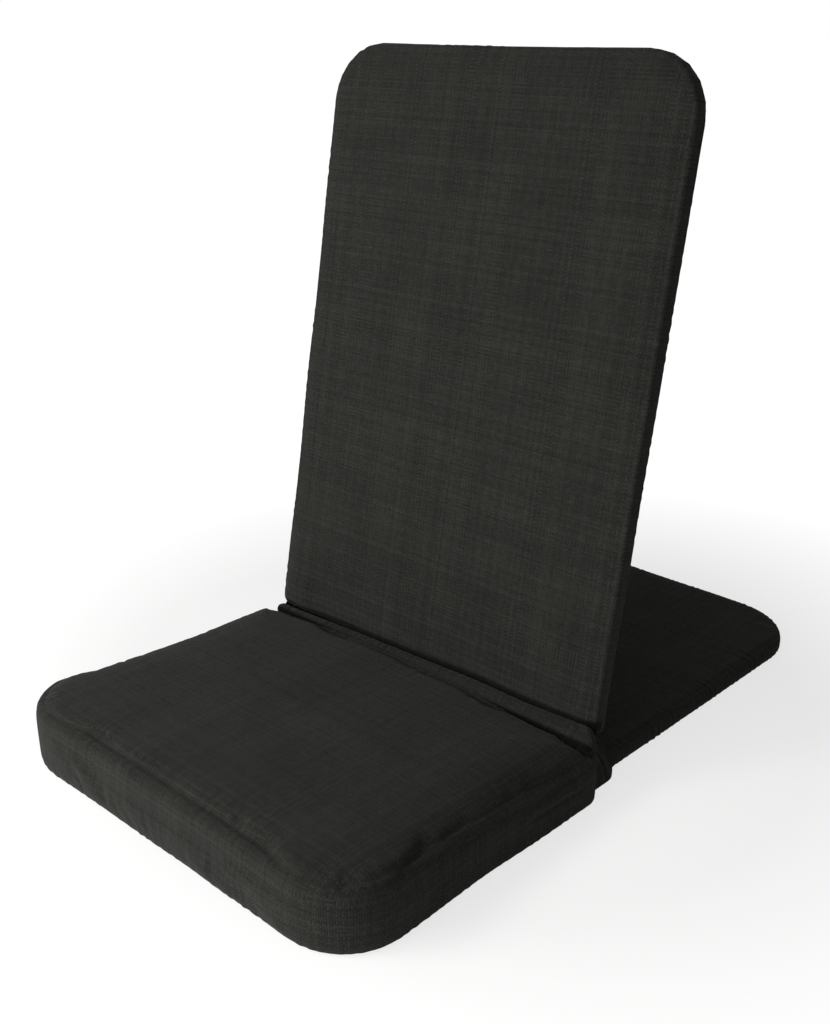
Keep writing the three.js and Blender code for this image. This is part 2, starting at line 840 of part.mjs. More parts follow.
function backArm(side) {
  const startX = side.sign > 0 ? armInnerX : -armOuterX;
  const plate = solid(plateGeometry(armOutline(0), startX, plateThickness, armSegments));
  const low = side.sign * (armInnerX - cutOverrun);
  const high = side.sign * (armOuterX + cutOverrun);
  const drills = [drill(rodRadius + clearance + bushWall, low, high, 0, 0, tubeSides)];
  for (const height of armRivetHeights) {
    drills.push(drill(rivetDiameter / 2, low, high, leafMiddle, height, rivetSides));
  }
  return geometryOf(cut(plate, drills));
}

function armSpace(side) {
  const startX = side.sign > 0 ? armInnerX - clearance : -armOuterX - clearance;
  const thickness = plateThickness + 2 * clearance;
  return solid(plateGeometry(armOutline(clearance), startX, thickness, armSegments));
}

function pivotBush(side) {
  const inner = boreRadius(rodRadius, tubeSides);
  const outer = rodRadius + clearance + bushWall;
  const profile = [[inner, 0], [outer, 0], [outer, plateThickness], [inner, plateThickness], [inner, 0]];
  return turnedGeometry(profile, side.sign * armInnerX, side.sign, 0, 0, tubeSides);
}

// Back cover, slotted underneath for the arms, and the two foam layers with the frame between them
function backCover() {
  const outer = solid(uprightLeaf(panelForm(backPanel, 0)));
  const inner = solid(uprightLeaf(panelForm(backPanel, fabric)));
  return geometryOf(cut(outer, [inner, ...bothSides.map(armSpace)]));
}

const backTubeSpace = tubeSpace(backTubePath);

// The front layer is -1 and the rear layer 1
function backFoam(layer) {
  const foam = solid(uprightLeaf(panelForm(backPanel, skin)));
  const cross = straightPath(
    leafPlace(-backTubeX, backCrossHeight),
    leafPlace(backTubeX, backCrossHeight),
  );
  const edge = backWidth / 2 + cutOverrun;
  const splitY = leafMiddle + layer * clearance / 2;
  const farY = leafMiddle - layer * (backThickness + cutOverrun);
  const low = leafAboveAxis - cutOverrun;
  const otherHalf = boxSolid(at(-edge, splitY, low), at(edge, farY, leafTop + cutOverrun));
  const tools = [backTubeSpace, tubeSpace(cross), otherHalf];
  const notchX = armInnerX - rivetHeadHeight - foamNotchMargin;
  const notchTop = armLength + foamNotchMargin;
  for (const side of bothSides) {
    const inner = at(side.sign * notchX, 0, low);
    const outer = at(side.sign * edge, 2 * leafMiddle, notchTop);
    tools.push(boxSolid(inner, outer));
  }
  return geometryOf(cut(foam, tools));
}

const seatCrossTube = crossTube(baseTubeX, crossTubeY, baseTubeZ, tubeSpace(seatTubePath));
const backCrossTube = crossTube(backTubeX, leafMiddle, backCrossHeight, backTubeSpace);

add(baseGroup, 'seat_cover', seatCover(), fabricFinish);
add(baseGroup, 'seat_foam', seatFoam(), foamFinish);
add(baseGroup, 'tail_cover', tailCover(), fabricFinish);
add(baseGroup, 'tail_pad', tailPad(), foamFinish);
add(baseGroup, 'seat_frame_tube', seatFrameTube(), steelFinish);
add(baseGroup, 'tail_frame_tube', tailFrameTube(), steelFinish);
add(baseGroup, 'seat_cross_tube', seatCrossTube, steelFinish);
add(baseGroup, 'hinge_rod', hingeRod(), zincFinish);
add(baseGroup, 'hinge_sleeve', hingeSleeve(), fabricFinish);
add(backGroup, 'back_cover', backCover(), fabricFinish);
add(backGroup, 'back_foam_front', backFoam(-1), foamFinish);
add(backGroup, 'back_foam_rear', backFoam(1), foamFinish);
add(backGroup, 'back_frame_tube', backFrameTube(), steelFinish);
add(backGroup, 'back_cross_tube', backCrossTube, steelFinish);

// A row of rivets, numbered from 1, that all hold the same thickness
function addRivets(group, name, side, headX, grip, places) {
  places.forEach(([y, z], number) => {
    const geometry = rivetGeometry(side, headX, grip, y, z);
    add(group, `${name}_${side.name}_${number + 1}`, geometry, zincFinish);
  });
}

const spliceGrip = tubeWall + 2 * clearance + tubeWall;
const plateGrip = plateThickness + 2 * clearance + tubeWall;
const spliceHeadX = baseTubeX - tubeRadius - clearance;

for (const side of bothSides) {
  add(baseGroup, `frame_splice_${side.name}`, frameSplice(side), steelFinish);
  add(baseGroup, `hinge_riser_${side.name}`, hingeRiser(side), steelFinish);
  add(baseGroup, `stop_pin_${side.name}`, stopPin(side), zincFinish);
  add(baseGroup, `rod_cap_${side.name}`, rodCap(side), zincFinish);
  add(baseGroup, `pivot_washer_${side.name}`, pivotWasher(side), nylonFinish);
  add(backGroup, `back_arm_${side.name}`, backArm(side), steelFinish);
  add(backGroup, `pivot_bush_${side.name}`, pivotBush(side), nylonFinish);
  add(backGroup, `leg_plug_${side.name}`, legPlug(side), plasticFinish);
  addRivets(baseGroup, 'splice_rivet', side, spliceHeadX, spliceGrip, spliceRivetY.map(onBase));
  addRivets(baseGroup, 'riser_rivet', side, riserInnerX - clearance, plateGrip, riserRivetY.map(onBase));
  addRivets(backGroup, 'arm_rivet', side, armInnerX - clearance, plateGrip, armRivetHeights.map(onLeg));
}

const chair = new THREE.Group();
chair.add(baseGroup, backGroup);

export default chair;
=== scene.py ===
# %% [markdown]
# # A folding floor chair, dressed in black canvas
# The chair has no legs. A thick seat cushion lies on the floor, a long padded back leans against two
# pins beside its hinge, and a thin tail on the floor behind keeps the sitter from tipping over.
# The frame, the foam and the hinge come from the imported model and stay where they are. This script
# makes what the eye meets: the sewn covers, the cloth in the crease, the finishes and the light.

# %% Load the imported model
import json
import math
from functools import partial

import bpy
import numpy as np
from mathutils import Matrix, Vector, noise
from mathutils.bvhtree import BVHTree
from mathutils.kdtree import KDTree


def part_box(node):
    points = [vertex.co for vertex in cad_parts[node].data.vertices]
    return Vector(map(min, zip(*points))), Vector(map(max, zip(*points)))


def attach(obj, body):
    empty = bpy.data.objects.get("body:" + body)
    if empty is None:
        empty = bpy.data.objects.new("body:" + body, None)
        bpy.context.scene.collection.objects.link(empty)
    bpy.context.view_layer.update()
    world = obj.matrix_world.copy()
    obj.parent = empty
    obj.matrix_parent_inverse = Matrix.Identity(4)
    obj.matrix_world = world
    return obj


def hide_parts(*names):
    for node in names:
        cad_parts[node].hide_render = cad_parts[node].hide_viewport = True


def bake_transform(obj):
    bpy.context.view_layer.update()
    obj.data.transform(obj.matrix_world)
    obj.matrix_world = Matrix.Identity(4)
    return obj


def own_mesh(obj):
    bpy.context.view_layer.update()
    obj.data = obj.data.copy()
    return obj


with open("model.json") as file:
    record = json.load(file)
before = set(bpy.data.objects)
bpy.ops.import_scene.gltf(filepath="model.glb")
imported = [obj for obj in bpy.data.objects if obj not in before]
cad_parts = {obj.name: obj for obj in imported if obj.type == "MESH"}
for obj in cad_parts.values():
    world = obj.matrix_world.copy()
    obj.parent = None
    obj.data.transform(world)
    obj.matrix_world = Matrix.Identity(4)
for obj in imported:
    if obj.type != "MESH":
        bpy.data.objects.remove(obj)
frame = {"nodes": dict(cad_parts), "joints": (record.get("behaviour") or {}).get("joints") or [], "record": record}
scene = bpy.context.scene
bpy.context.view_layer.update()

# %% [markdown]
# ## Places that the frame gives
# Every cover is drawn in millimetres around the solid that it replaces, so its size is read from the
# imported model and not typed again. The back is easier to draw lying flat in its own axes, which are
# across, up from the hinge, and out of its front face. One matrix then stands it up at its recline.

# %% Sizes and places from the frame
MM = 0.001
UPRIGHT = math.radians(90)
RECLINE = math.radians(10)


def box_mm(node):
    low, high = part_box(node)
    return np.array(low) / MM, np.array(high) / MM


hinge = frame["joints"][0]
axis = Vector(hinge["pos_m"])
axis_y, axis_z = axis.y / MM, axis.z / MM
seat_low, seat_high = box_mm("seat_cover")
tail_low, tail_high = box_mm("tail_cover")
_, cap_high = box_mm("rod_cap_left")
_, back_high = box_mm("back_cover")

flat_place = Matrix.Identity(4)
stand_up = Matrix.Rotation(UPRIGHT - RECLINE, 4, "X")
back_place = Matrix.Translation(axis) @ stand_up
print("hinge axis at", round(axis_y, 1), round(axis_z, 1), "mm; seat", (seat_high - seat_low).round(1))

# %% [markdown]
# ## The camera
# A photograph's viewpoint can be found by laying the model's outline over the pictured one and
# moving the camera until they agree. The lens follows from how fast the edges draw together, and the
# small shift says that the picture was cut a little off its middle.

# %% Camera
CAMERA_PLACE = (0.8953, -1.0208, 0.7686)
CAMERA_AZIMUTH = math.radians(44.4)
CAMERA_DOWN = math.radians(20.95)
CAMERA_ROLL = math.radians(-0.34)
SENSOR = 36.0
FOCAL_LENGTH = 44.96
SHIFT = (0.0267, -0.0123)

camera_data = bpy.data.cameras.new("camera")
camera_data.sensor_width = SENSOR
camera_data.lens = FOCAL_LENGTH
camera_data.shift_x, camera_data.shift_y = SHIFT
camera = bpy.data.objects.new("camera", camera_data)
turn = Matrix.Rotation(CAMERA_AZIMUTH, 4, "Z")
tilt = Matrix.Rotation(UPRIGHT - CAMERA_DOWN, 4, "X")
roll = Matrix.Rotation(CAMERA_ROLL, 4, "Z")
camera.matrix_world = Matrix.Translation(CAMERA_PLACE) @ turn @ tilt @ roll
scene.collection.objects.link(camera)
scene.camera = camera
scene.view_settings.view_transform = "Standard"
print("camera at", CAMERA_PLACE, "looking down", round(math.degrees(CAMERA_DOWN), 1), "degrees")

# %% [markdown]
# ## Colours and nodes
# A colour is easiest to write as the hex value that a screen shows, but a shader works with light,
# so one function turns the one into the other. Node trees are long to write by hand, so one helper
# fills a node's inputs with values or with other nodes, and one adds a node and gives its settings.
# A third starts a material, and hands back its shader and the second helper, ready for that material.


# %% Colour and node helpers
def linear(hex_value):
    channels = [int(hex_value[place : place + 2], 16) / 255 for place in (1, 3, 5)]
    bent = [c / 12.92 if c <= 0.04045 else ((c + 0.055) / 1.055) ** 2.4 for c in channels]
    return (*bent, 1.0)


def fill_inputs(node, inputs):
    """A value is set on its socket. A node given as an input is joined by its first output."""
    for socket, value in inputs.items():
        if isinstance(value, bpy.types.Node):
            value = value.outputs[0]
        if isinstance(value, bpy.types.NodeSocket):
            node.id_data.links.new(value, node.inputs[socket])
        else:
            node.inputs[socket].default_value = value


def add_node(tree, kind, inputs=None, **settings):
    node = tree.nodes.new("ShaderNode" + kind)
    for name, value in settings.items():
        setattr(node, name, value)
    fill_inputs(node, inputs or {})
    return node


def new_material(name):
    made = bpy.data.materials.new(name)
    made.use_nodes = True
    return made, made.node_tree.nodes["Principled BSDF"], partial(add_node, made.node_tree)


print("the grey #808080 in linear light:", round(linear("#808080")[0], 4))

# %% [markdown]
# ## Light and floor
# A product shot like this one is taken in a white sweep with soft lamps. Two low lamps in front make
# the seat's front and its round corner lighter than its top, and leave the tail in the back's shade.
# A higher one at the left lights the seat's top, less so to the right. The pale floor gives some
# light back. The world shows white to the camera, and lights the chair only a little.
#
# The floor could be lit until it clips to white, but then the chair would be far too bright. So the
# camera sees the floor glow a little as well, and more with distance, while its shadow still shows.

# %% World
WORLD_LIGHT = 0.12

world = bpy.data.worlds.new("white_sweep")
world.use_nodes = True
world.node_tree.nodes.clear()
add = partial(add_node, world.node_tree)
path = add("LightPath")
seen = add("Math", {0: path.outputs["Is Camera Ray"], 1: path.outputs["Is Glossy Ray"]}, operation="MAXIMUM")
seen = add("Math", {0: seen, 1: path.outputs["Is Transmission Ray"]}, operation="MAXIMUM")
fill = add("Background", {"Color": linear("#ffffff"), "Strength": WORLD_LIGHT})
white = add("Background", {"Color": linear("#ffffff"), "Strength": 1.0})
add("OutputWorld", {"Surface": add("MixShader", {0: seen, 1: fill, 2: white})})
scene.world = world
print("world light:", WORLD_LIGHT)

# %% Floor
FLOOR_WHITE = "#f4f4f2"
FLOOR_REACH = 30.0
FLOOR_SEEN_SHARE = 0.35
GLOW_NEAR = 0.72
GLOW_FAR = 1.0
GLOW_STARTS = 0.42
GLOW_FULL = 0.9


def plain_object(name, points, faces):
    mesh = bpy.data.meshes.new(name)
    mesh.from_pydata([tuple(point) for point in points], [], faces)
    made = bpy.data.objects.new(name, mesh)
    scene.collection.objects.link(made)
    return made


floor_material, _, add = new_material("matt_white_sweep")
floor_material.node_tree.nodes.clear()
from_middle = add("VectorMath", {0: add("TexCoord").outputs["Object"]}, operation="LENGTH").outputs["Value"]
glow = add("MapRange", {0: from_middle, 1: GLOW_STARTS, 2: GLOW_FULL, 3: GLOW_NEAR, 4: GLOW_FAR})
paper = add("BsdfDiffuse", {"Color": linear(FLOOR_WHITE)})
glowing = add("Emission", {"Color": linear("#ffffff"), "Strength": glow})
black = add("BsdfDiffuse", {"Color": linear("#000000")})
seen_paper = add("MixShader", {0: FLOOR_SEEN_SHARE, 1: black, 2: paper})
seen_floor = add("AddShader", {0: seen_paper, 1: glowing})
by_camera = add("LightPath").outputs["Is Camera Ray"]
add("OutputMaterial", {"Surface": add("MixShader", {0: by_camera, 1: paper, 2: seen_floor})})

corners = [(x * FLOOR_REACH, y * FLOOR_REACH, 0) for x, y in ((-1, -1), (1, -1), (1, 1), (-1, 1))]
floor = plain_object("floor", corners, [(0, 1, 2, 3)])
floor.data.materials.append(floor_material)
print("the floor's glow grows from", GLOW_STARTS, "to", GLOW_FULL, "m")

# %% Lamps
AIM = Vector((0.0, -0.12, 0.2))
LAMPS = {
    "front_lamp": {"place": (-0.3, -1.4, 0.6), "size": 0.8, "power": 10},
    "right_lamp": {"place": (0.5, -1.5, 0.6), "size": 0.9, "power": 7},
    "high_lamp": {"place": (-0.8, -1.5, 1.4), "size": 0.8, "power": 14},
}

for name, lamp in LAMPS.items():
    lamp_data = bpy.data.lights.new(name, "AREA")
    lamp_data.size = lamp["size"]
    lamp_data.energy = lamp["power"]
    lamp_object = bpy.data.objects.new(name, lamp_data)
    lamp_object.location = lamp["place"]
    towards = AIM - Vector(lamp["place"])
    lamp_object.rotation_euler = towards.to_track_quat("-Z", "Y").to_euler()
    scene.collection.objects.link(lamp_object)
print("lamps:", ", ".join(LAMPS))

# %% [markdown]
# ## Woven polyester canvas
# The covers are plain-woven polyester: every warp thread goes over one weft thread and under the
# next. Dyed black it is never pure black, because the thread's loose fibres catch light at a glancing
# angle, which the sheen stands for. The weave is drawn from the place on the cloth: two of the three
# coordinates, chosen by the way the surface faces, give a checker of over and under, and a sine
# gives each thread its round back. Threads differ a little in tone, which the eye reads as yarn.
# Shade is painted into the colour deep in the crease: a value stored at each point of the mesh says
# how much darker the canvas is drawn there.

# %% Place on the cloth
THREAD_SPACING = 0.6
DRAWN_COARSER = 3.4

canvas, shader, add = new_material("woven_polyester_canvas")

# The real spacing is finer than a pixel, so the weave is drawn a few times as coarse
drawn_spacing = THREAD_SPACING * DRAWN_COARSER * MM
place = add("TexCoord")
facing = add("SeparateXYZ", {0: add("VectorMath", {0: place.outputs["Normal"]}, operation="ABSOLUTE")})
scaled = add("VectorMath", {0: place.outputs["Object"], "Scale": 1 / drawn_spacing}, operation="SCALE")
spot = add("SeparateXYZ", {0: scaled})
sides = add("Math", {0: facing.outputs["X"], 1: facing.outputs["Y"]}, operation="MAXIMUM")
lies_flat = add("Math", {0: facing.outputs["Z"], 1: sides}, operation="GREATER_THAN")
stands = add("Math", {0: 1.0, 1: lies_flat}, operation="SUBTRACT")
turned = add("Math", {0: facing.outputs["X"], 1: facing.outputs["Y"]}, operation="GREATER_THAN")
turned = add("Math", {0: turned, 1: stands}, operation="MULTIPLY")
across = add("Mix", {0: turned, 2: spot.outputs["X"], 3: spot.outputs["Y"]})
upward = add("Mix", {0: lies_flat, 2: spot.outputs["Z"], 3: spot.outputs["Y"]})
cloth_spot = add("CombineXYZ", {0: across, 1: upward})
print("weave drawn every", round(drawn_spacing / MM, 2), "mm")

# %% Threads over and under
# Each thread's number, and the round back of the warp and of the weft
number = add("VectorMath", {0: cloth_spot}, operation="FLOOR")
within = add("VectorMath", {0: cloth_spot}, operation="FRACTION")
within = add("VectorMath", {0: within, "Scale": math.pi}, operation="SCALE")
backs = add("SeparateXYZ", {0: add("VectorMath", {0: within}, operation="SINE")})
numbers = add("SeparateXYZ", {0: number})
# Where both numbers add up to an odd one, the weft lies on top
both = add("Math", {0: numbers.outputs["X"], 1: numbers.outputs["Y"]}, operation="ADD")
weft_over = add("Math", {0: add("Math", {0: both, 1: 0.5}, operation="MULTIPLY")}, operation="FRACT")
weft_over = add("Math", {0: weft_over, 1: 0.25}, operation="GREATER_THAN")
heights = []
for own, other in (("X", "Y"), ("Y", "X")):
    dip = add("Math", {0: backs.outputs[other], 1: 0.5, 2: 0.5}, operation="MULTIPLY_ADD")
    heights.append(add("Math", {0: backs.outputs[own], 1: dip}, operation="MULTIPLY"))
weave_height = add("Mix", {0: weft_over, 2: heights[0], 3: heights[1]})
print("place and weave take", len(canvas.node_tree.nodes), "nodes")

# %% Tone and finish of the canvas
THREAD_HEIGHT = 0.45
CANVAS_BLACK = "#2e2e2b"
GAP_SHADE_SHARE = 0.62
YARN_TONE_SHARES = (0.72, 1.28)
PATCH_TONE_SHARES = (0.90, 1.10)
PATCH_SIZE = 70.0
SLUB_TONE_SHARES = (0.86, 1.16)
SLUB_SIZE = 5.0
SHADE_ATTRIBUTE = "painted_shade"
PAINTED_SHADE_SHARE = 0.85
CANVAS_ROUGHNESS = 0.92
CANVAS_SPECULAR = 0.05
CANVAS_SHEEN = 0.06
CANVAS_SHEEN_ROUGHNESS = 0.45
CANVAS_BUMP = 0.8
POLYESTER_IOR = 1.57
NOISE_SPAN = {1: 0.3, 2: 0.7}

# Tone by thread, by soft patches and by the yarn's thicker slubs, and painted shade in the gaps between
# threads. A noise texture hardly leaves NOISE_SPAN
warp_tone = add("TexWhiteNoise", {"W": numbers.outputs["X"]}, noise_dimensions="1D")
weft_tone = add("TexWhiteNoise", {"Vector": numbers.outputs["Y"]}, noise_dimensions="3D")
thread_tone = add("Mix", {0: weft_over, 2: warp_tone, 3: weft_tone})
yarn = add("MapRange", {0: thread_tone, 3: YARN_TONE_SHARES[0], 4: YARN_TONE_SHARES[1]})
# Painted shade: the canvas is drawn darker where the threads dip, in the gaps between them
gap = add("MapRange", {0: weave_height, 3: GAP_SHADE_SHARE, 4: 1.0})
tone = add("Math", {0: yarn, 1: gap}, operation="MULTIPLY")
for size, detail, shares in ((PATCH_SIZE, 3.0, PATCH_TONE_SHARES), (SLUB_SIZE, 2.0, SLUB_TONE_SHARES)):
    uneven = add("TexNoise", {"Vector": place.outputs["Object"], "Scale": 1 / (size * MM), "Detail": detail})
    share = add("MapRange", {0: uneven, **NOISE_SPAN, 3: shares[0], 4: shares[1]})
    tone = add("Math", {0: tone, 1: share}, operation="MULTIPLY")
# Painted shade: the stored value darkens the canvas in the crease
kept = add("Attribute", attribute_name=SHADE_ATTRIBUTE).outputs["Fac"]
unshaded_share = add("Math", {0: kept, 1: -PAINTED_SHADE_SHARE, 2: 1.0}, operation="MULTIPLY_ADD")
tone = add("Math", {0: tone, 1: unshaded_share}, operation="MULTIPLY")
colour = add("VectorMath", {0: linear(CANVAS_BLACK)[:3], "Scale": tone}, operation="SCALE")
bump = add("Bump", {"Height": weave_height, "Strength": CANVAS_BUMP, "Distance": THREAD_HEIGHT * MM})
fill_inputs(shader, {
    "Base Color": colour, "Normal": bump, "Roughness": CANVAS_ROUGHNESS, "IOR": POLYESTER_IOR,
    "Specular IOR Level": CANVAS_SPECULAR, "Sheen Weight": CANVAS_SHEEN,
    "Sheen Roughness": CANVAS_SHEEN_ROUGHNESS,
})
print(canvas.name, "from", CANVAS_BLACK, "with", len(canvas.node_tree.nodes), "nodes")

# %% [markdown]
# ## A boxed cushion, as it is cut
# A boxed cushion is three pieces of cloth: a top, a bottom, and a long strip that goes round between
# them. A sphere or a box blown up would lose the seams, so the mesh is laid out as the cloth is cut.
# The top and bottom are grids whose corners are pushed round, and the strip joins their borders, so
# each seam is one loop of vertices that later steps can pull in and pucker.


# %% The outline of a cushion
TINY = 1e-9
SMALLEST_RADIUS = 1.0


def corner_radius(y, cut):
    """The middle of the outline, and the radius of the corner that each point is nearest to."""
    middle = (cut["near"] + cut["far"]) / 2
    return middle, np.where(y < middle, cut["near_radius"], cut["far_radius"])


def rounded(x, y, cut):
    """Pushes the corners of a rectangle of points round."""
    middle, radius = corner_radius(y, cut)
    over_x = np.abs(x) - (cut["half"] - radius)
    over_y = np.where(y < middle, cut["near"] + radius - y, y - cut["far"] + radius)
    in_corner = (over_x > 0) & (over_y > 0)
    longest = np.maximum(over_x, over_y)
    pull = np.where(in_corner, longest / np.maximum(np.hypot(over_x, over_y), TINY), 1.0)
    away = np.where(y < middle, -1.0, 1.0)
    round_x = np.where(in_corner, np.sign(x) * (np.abs(x) - over_x + over_x * pull), x)
    round_y = np.where(in_corner, y - away * over_y + away * over_y * pull, y)
    return round_x, round_y


def outward(x, y, cut):
    """The direction out of the outline, from the nearest point of its straight core."""
    _, radius = corner_radius(y, cut)
    core_x = np.clip(x, radius - cut["half"], cut["half"] - radius)
    core_y = np.clip(y, cut["near"] + radius, cut["far"] - radius)
    away = np.stack([x - core_x, y - core_y], axis=1)
    return away / np.linalg.norm(away, axis=1, keepdims=True)


def edge_distance(x, y, cut):
    """How far a point lies inside the outline."""
    _, radius = corner_radius(y, cut)
    over_x = np.abs(x) - (cut["half"] - radius)
    over_y = np.maximum(cut["near"] + radius - y, y - cut["far"] + radius)
    outside = np.hypot(np.maximum(over_x, 0), np.maximum(over_y, 0))
    return radius - outside - np.minimum(np.maximum(over_x, over_y), 0)


def inset_cut(cut, inset):
    return {
        "half": cut["half"] - inset,
        "near": cut["near"] + inset,
        "far": cut["far"] - inset,
        "near_radius": max(cut["near_radius"] - inset, SMALLEST_RADIUS),
        "far_radius": max(cut["far_radius"] - inset, SMALLEST_RADIUS),
    }


print("corner radii are kept above", SMALLEST_RADIUS, "mm")

# %% The side of a cushion
PROFILE_POINTS = 181


def side_profile(seam_low, seam_high, squareness, count):
    """Inset and height share up the strip, a rounded side between two seams, in even steps."""
    angles = np.linspace(-math.pi / 2, math.pi / 2, PROFILE_POINTS)
    bend = 2 / squareness
    out = np.abs(np.cos(angles)) ** bend
    share = 0.5 + 0.5 * np.sign(angles) * np.abs(np.sin(angles)) ** bend
    inset = np.where(angles < 0, seam_low, seam_high) * (1 - out)
    height = (seam_low + seam_high) * 2
    length = np.concatenate([[0], np.cumsum(np.hypot(np.diff(inset), np.diff(share) * height))])
    even = np.linspace(0, length[-1], count)
    return np.interp(even, length, inset), np.interp(even, length, share)


print("a side profile in 5 steps:", side_profile(6, 15, 4, 6)[0].round(1))


# %% The grid of a boxed cushion
def boxed_cushion(cut, cell, seams, squareness, top, bottom, strip_cells):
    """Points and faces of the cover, and the vertex loops of its lower and upper seam."""
    seam_low, seam_high = seams
    points, faces, loops = [], [], []
    for seam, height, faces_up in ((seam_low, bottom, False), (seam_high, top, True)):
        inner = inset_cut(cut, seam)
        wide = round(2 * cut["half"] / cell) + 1
        deep = round((cut["far"] - cut["near"]) / cell) + 1
        x, y = np.meshgrid(
            np.linspace(-inner["half"], inner["half"], wide),
            np.linspace(inner["near"], inner["far"], deep),
        )
        x, y = rounded(x.ravel(), y.ravel(), inner)
        z = height(x, y, edge_distance(x, y, cut))
        start = sum(len(block) for block in points)
        points.append(np.stack([x, y, z], axis=1))
        number = start + np.arange(wide * deep).reshape(deep, wide)
        quads = np.stack([number[:-1, :-1], number[:-1, 1:], number[1:, 1:], number[1:, :-1]], axis=-1)
        quads = quads.reshape(-1, 4)
        faces.append(quads if faces_up else quads[:, ::-1])
        border = [number[0, :-1], number[:-1, -1], number[-1, :0:-1], number[:0:-1, 0]]
        loops.append(np.concatenate(border))
    low, high = np.concatenate(points)[loops[0]], np.concatenate(points)[loops[1]]
    inner = inset_cut(cut, seam_high)
    away = outward(high[:, 0], high[:, 1], inner)
    insets, shares = side_profile(seam_low, seam_high, squareness, strip_cells + 1)
    rings = [loops[0]]
    for inset, share in zip(insets[1:-1], shares[1:-1]):
        plan = high[:, :2] + away * (seam_high - inset)
        z = low[:, 2] + (high[:, 2] - low[:, 2]) * share
        start = sum(len(block) for block in points)
        points.append(np.column_stack([plan, z]))
        rings.append(start + np.arange(len(plan)))
    rings.append(loops[1])
    for under, over in zip(rings, rings[1:]):
        faces.append(np.stack([under, np.roll(under, -1), np.roll(over, -1), over], axis=1))
    return np.concatenate(points), np.concatenate(faces), loops


def soft_object(name, points_mm, faces, placed):
    made = plain_object(name, np.asarray(points_mm) * MM, [tuple(int(v) for v in face) for face in faces])
    made.matrix_world = placed
    made.data.shade_smooth()
    made.data.materials.append(canvas)
    return made


print("covers are made of", canvas.name)

# %% [markdown]
# ## Swelling the cover with a cloth simulation
# Foam pushes its cover outwards everywhere, and only the seams hold it back. A cloth simulation with
# a little pressure and no gravity gives just that. Each face also gets slightly more cloth than it
# needs, as a sewn cover has, and the surplus gathers along the seams. A cap keeps the cushion's size,
# and what rests on the floor stays flat.


# %% Vertices, read and moved
def of_vertices(made, what):
    flat = np.empty(len(made.data.vertices) * 3)
    made.data.vertices.foreach_get(what, flat)
    return flat.reshape(-1, 3)


coordinates = partial(of_vertices, what="co")
normals = partial(of_vertices, what="normal")


def move_to(made, points):
    made.data.vertices.foreach_set("co", np.asarray(points, np.float32).ravel())
    made.data.update()


print("the floor's first corner:", coordinates(floor)[0].round(1), "m")

# %% Cloth helpers
SIMULATED_FRAMES = 20
CLOTH_PRESSURE = 4.0
CLOTH_STIFFNESS = 15.0
CLOTH_BENDING = 0.5


def simulate(made, held, spare_cloth, cap):
    """Lets the cover swell. held are vertices that stay, spare_cloth is a share, cap is in millimetres."""
    before = coordinates(made)
    group = made.vertex_groups.new(name="held")
    group.add([int(vertex) for vertex in held], 1.0, "REPLACE")
    cloth = made.modifiers.new("cloth", "CLOTH")
    settings = cloth.settings
    settings.vertex_group_mass = "held"
    settings.tension_stiffness = CLOTH_STIFFNESS
    settings.compression_stiffness = CLOTH_STIFFNESS
    settings.bending_stiffness = CLOTH_BENDING
    settings.shrink_min = -spare_cloth
    settings.use_pressure = True
    settings.uniform_pressure_force = CLOTH_PRESSURE
    settings.effector_weights.gravity = 0.0
    cloth.collision_settings.use_collision = False
    cloth.point_cache.frame_end = SIMULATED_FRAMES
    for step in range(1, SIMULATED_FRAMES + 1):
        scene.frame_set(step)
    settled = made.evaluated_get(bpy.context.evaluated_depsgraph_get())
    after = np.empty(len(before) * 3)
    settled.data.vertices.foreach_get("co", after)
    move = after.reshape(-1, 3) - before
    facing_out = normals(made)
    inwards = np.minimum(np.sum(move * facing_out, axis=1, keepdims=True), 0.0)
    move -= inwards * facing_out
    far = np.linalg.norm(move, axis=1, keepdims=True)
    move *= np.minimum(1.0, cap * MM / np.maximum(far, TINY))
    made.modifiers.remove(cloth)
    made.vertex_groups.remove(group)
    scene.frame_set(1)
    move_to(made, before + move)
    print(made.name, "moved up to", round(float(far.max()) / MM, 1), "mm, kept within", cap, "mm")


def subdivide(made):
    made.modifiers.new("subdivision", "SUBSURF").levels = 1
    finer = bpy.data.meshes.new_from_object(made.evaluated_get(bpy.context.evaluated_depsgraph_get()))
    made.modifiers.clear()
    finer.name = made.name
    made.data = finer
    made.data.shade_smooth()


print("cloth pressure", CLOTH_PRESSURE, "for", SIMULATED_FRAMES, "frames")

# %% [markdown]
# ## Seams and their puckers
# A seam pulls the cloth down into a narrow groove, and the thread's tension gathers the cloth beside
# it into short ripples that run square to the seam and fade within a few centimetres. Both follow
# from two numbers at each vertex: how far it is from the seam, and how far along the seam.


# %% Seam helpers
RIPPLE_STRETCHES = (0.72, 0.9, 1.13, 1.47)
PUCKER_STEADY, PUCKER_VARIES = 0.6, 0.4
PUCKER_VARIES_OVER = 9
PUCKER_VARIES_SEED = 50


def ripple(along, wave, seed):
    """Uneven waves of about one wavelength, from a few sines with chosen phases."""
    generator = np.random.default_rng(seed)
    total = np.zeros_like(along)
    for stretch in RIPPLE_STRETCHES:
        total += np.sin(2 * math.pi * along / (wave * stretch) + generator.uniform(0, 2 * math.pi))
    return total / 2


def from_seam(points, line):
    """Distance to the seam, and the distance along it of the nearest point, in millimetres."""
    closed = np.vstack([line, line[:1]])
    steps = np.linalg.norm(np.diff(closed, axis=0), axis=1)
    along = np.concatenate([[0], np.cumsum(steps)])
    fine = np.linspace(0, along[-1], int(along[-1]))[:-1]
    dense = np.stack([np.interp(fine, along, closed[:, k]) for k in range(3)], axis=1)
    tree = KDTree(len(dense))
    for number, point in enumerate(dense):
        tree.insert(point, number)
    tree.balance()
    found = [tree.find(point) for point in points]
    return np.array([hit[2] for hit in found]), fine[[hit[1] for hit in found]]


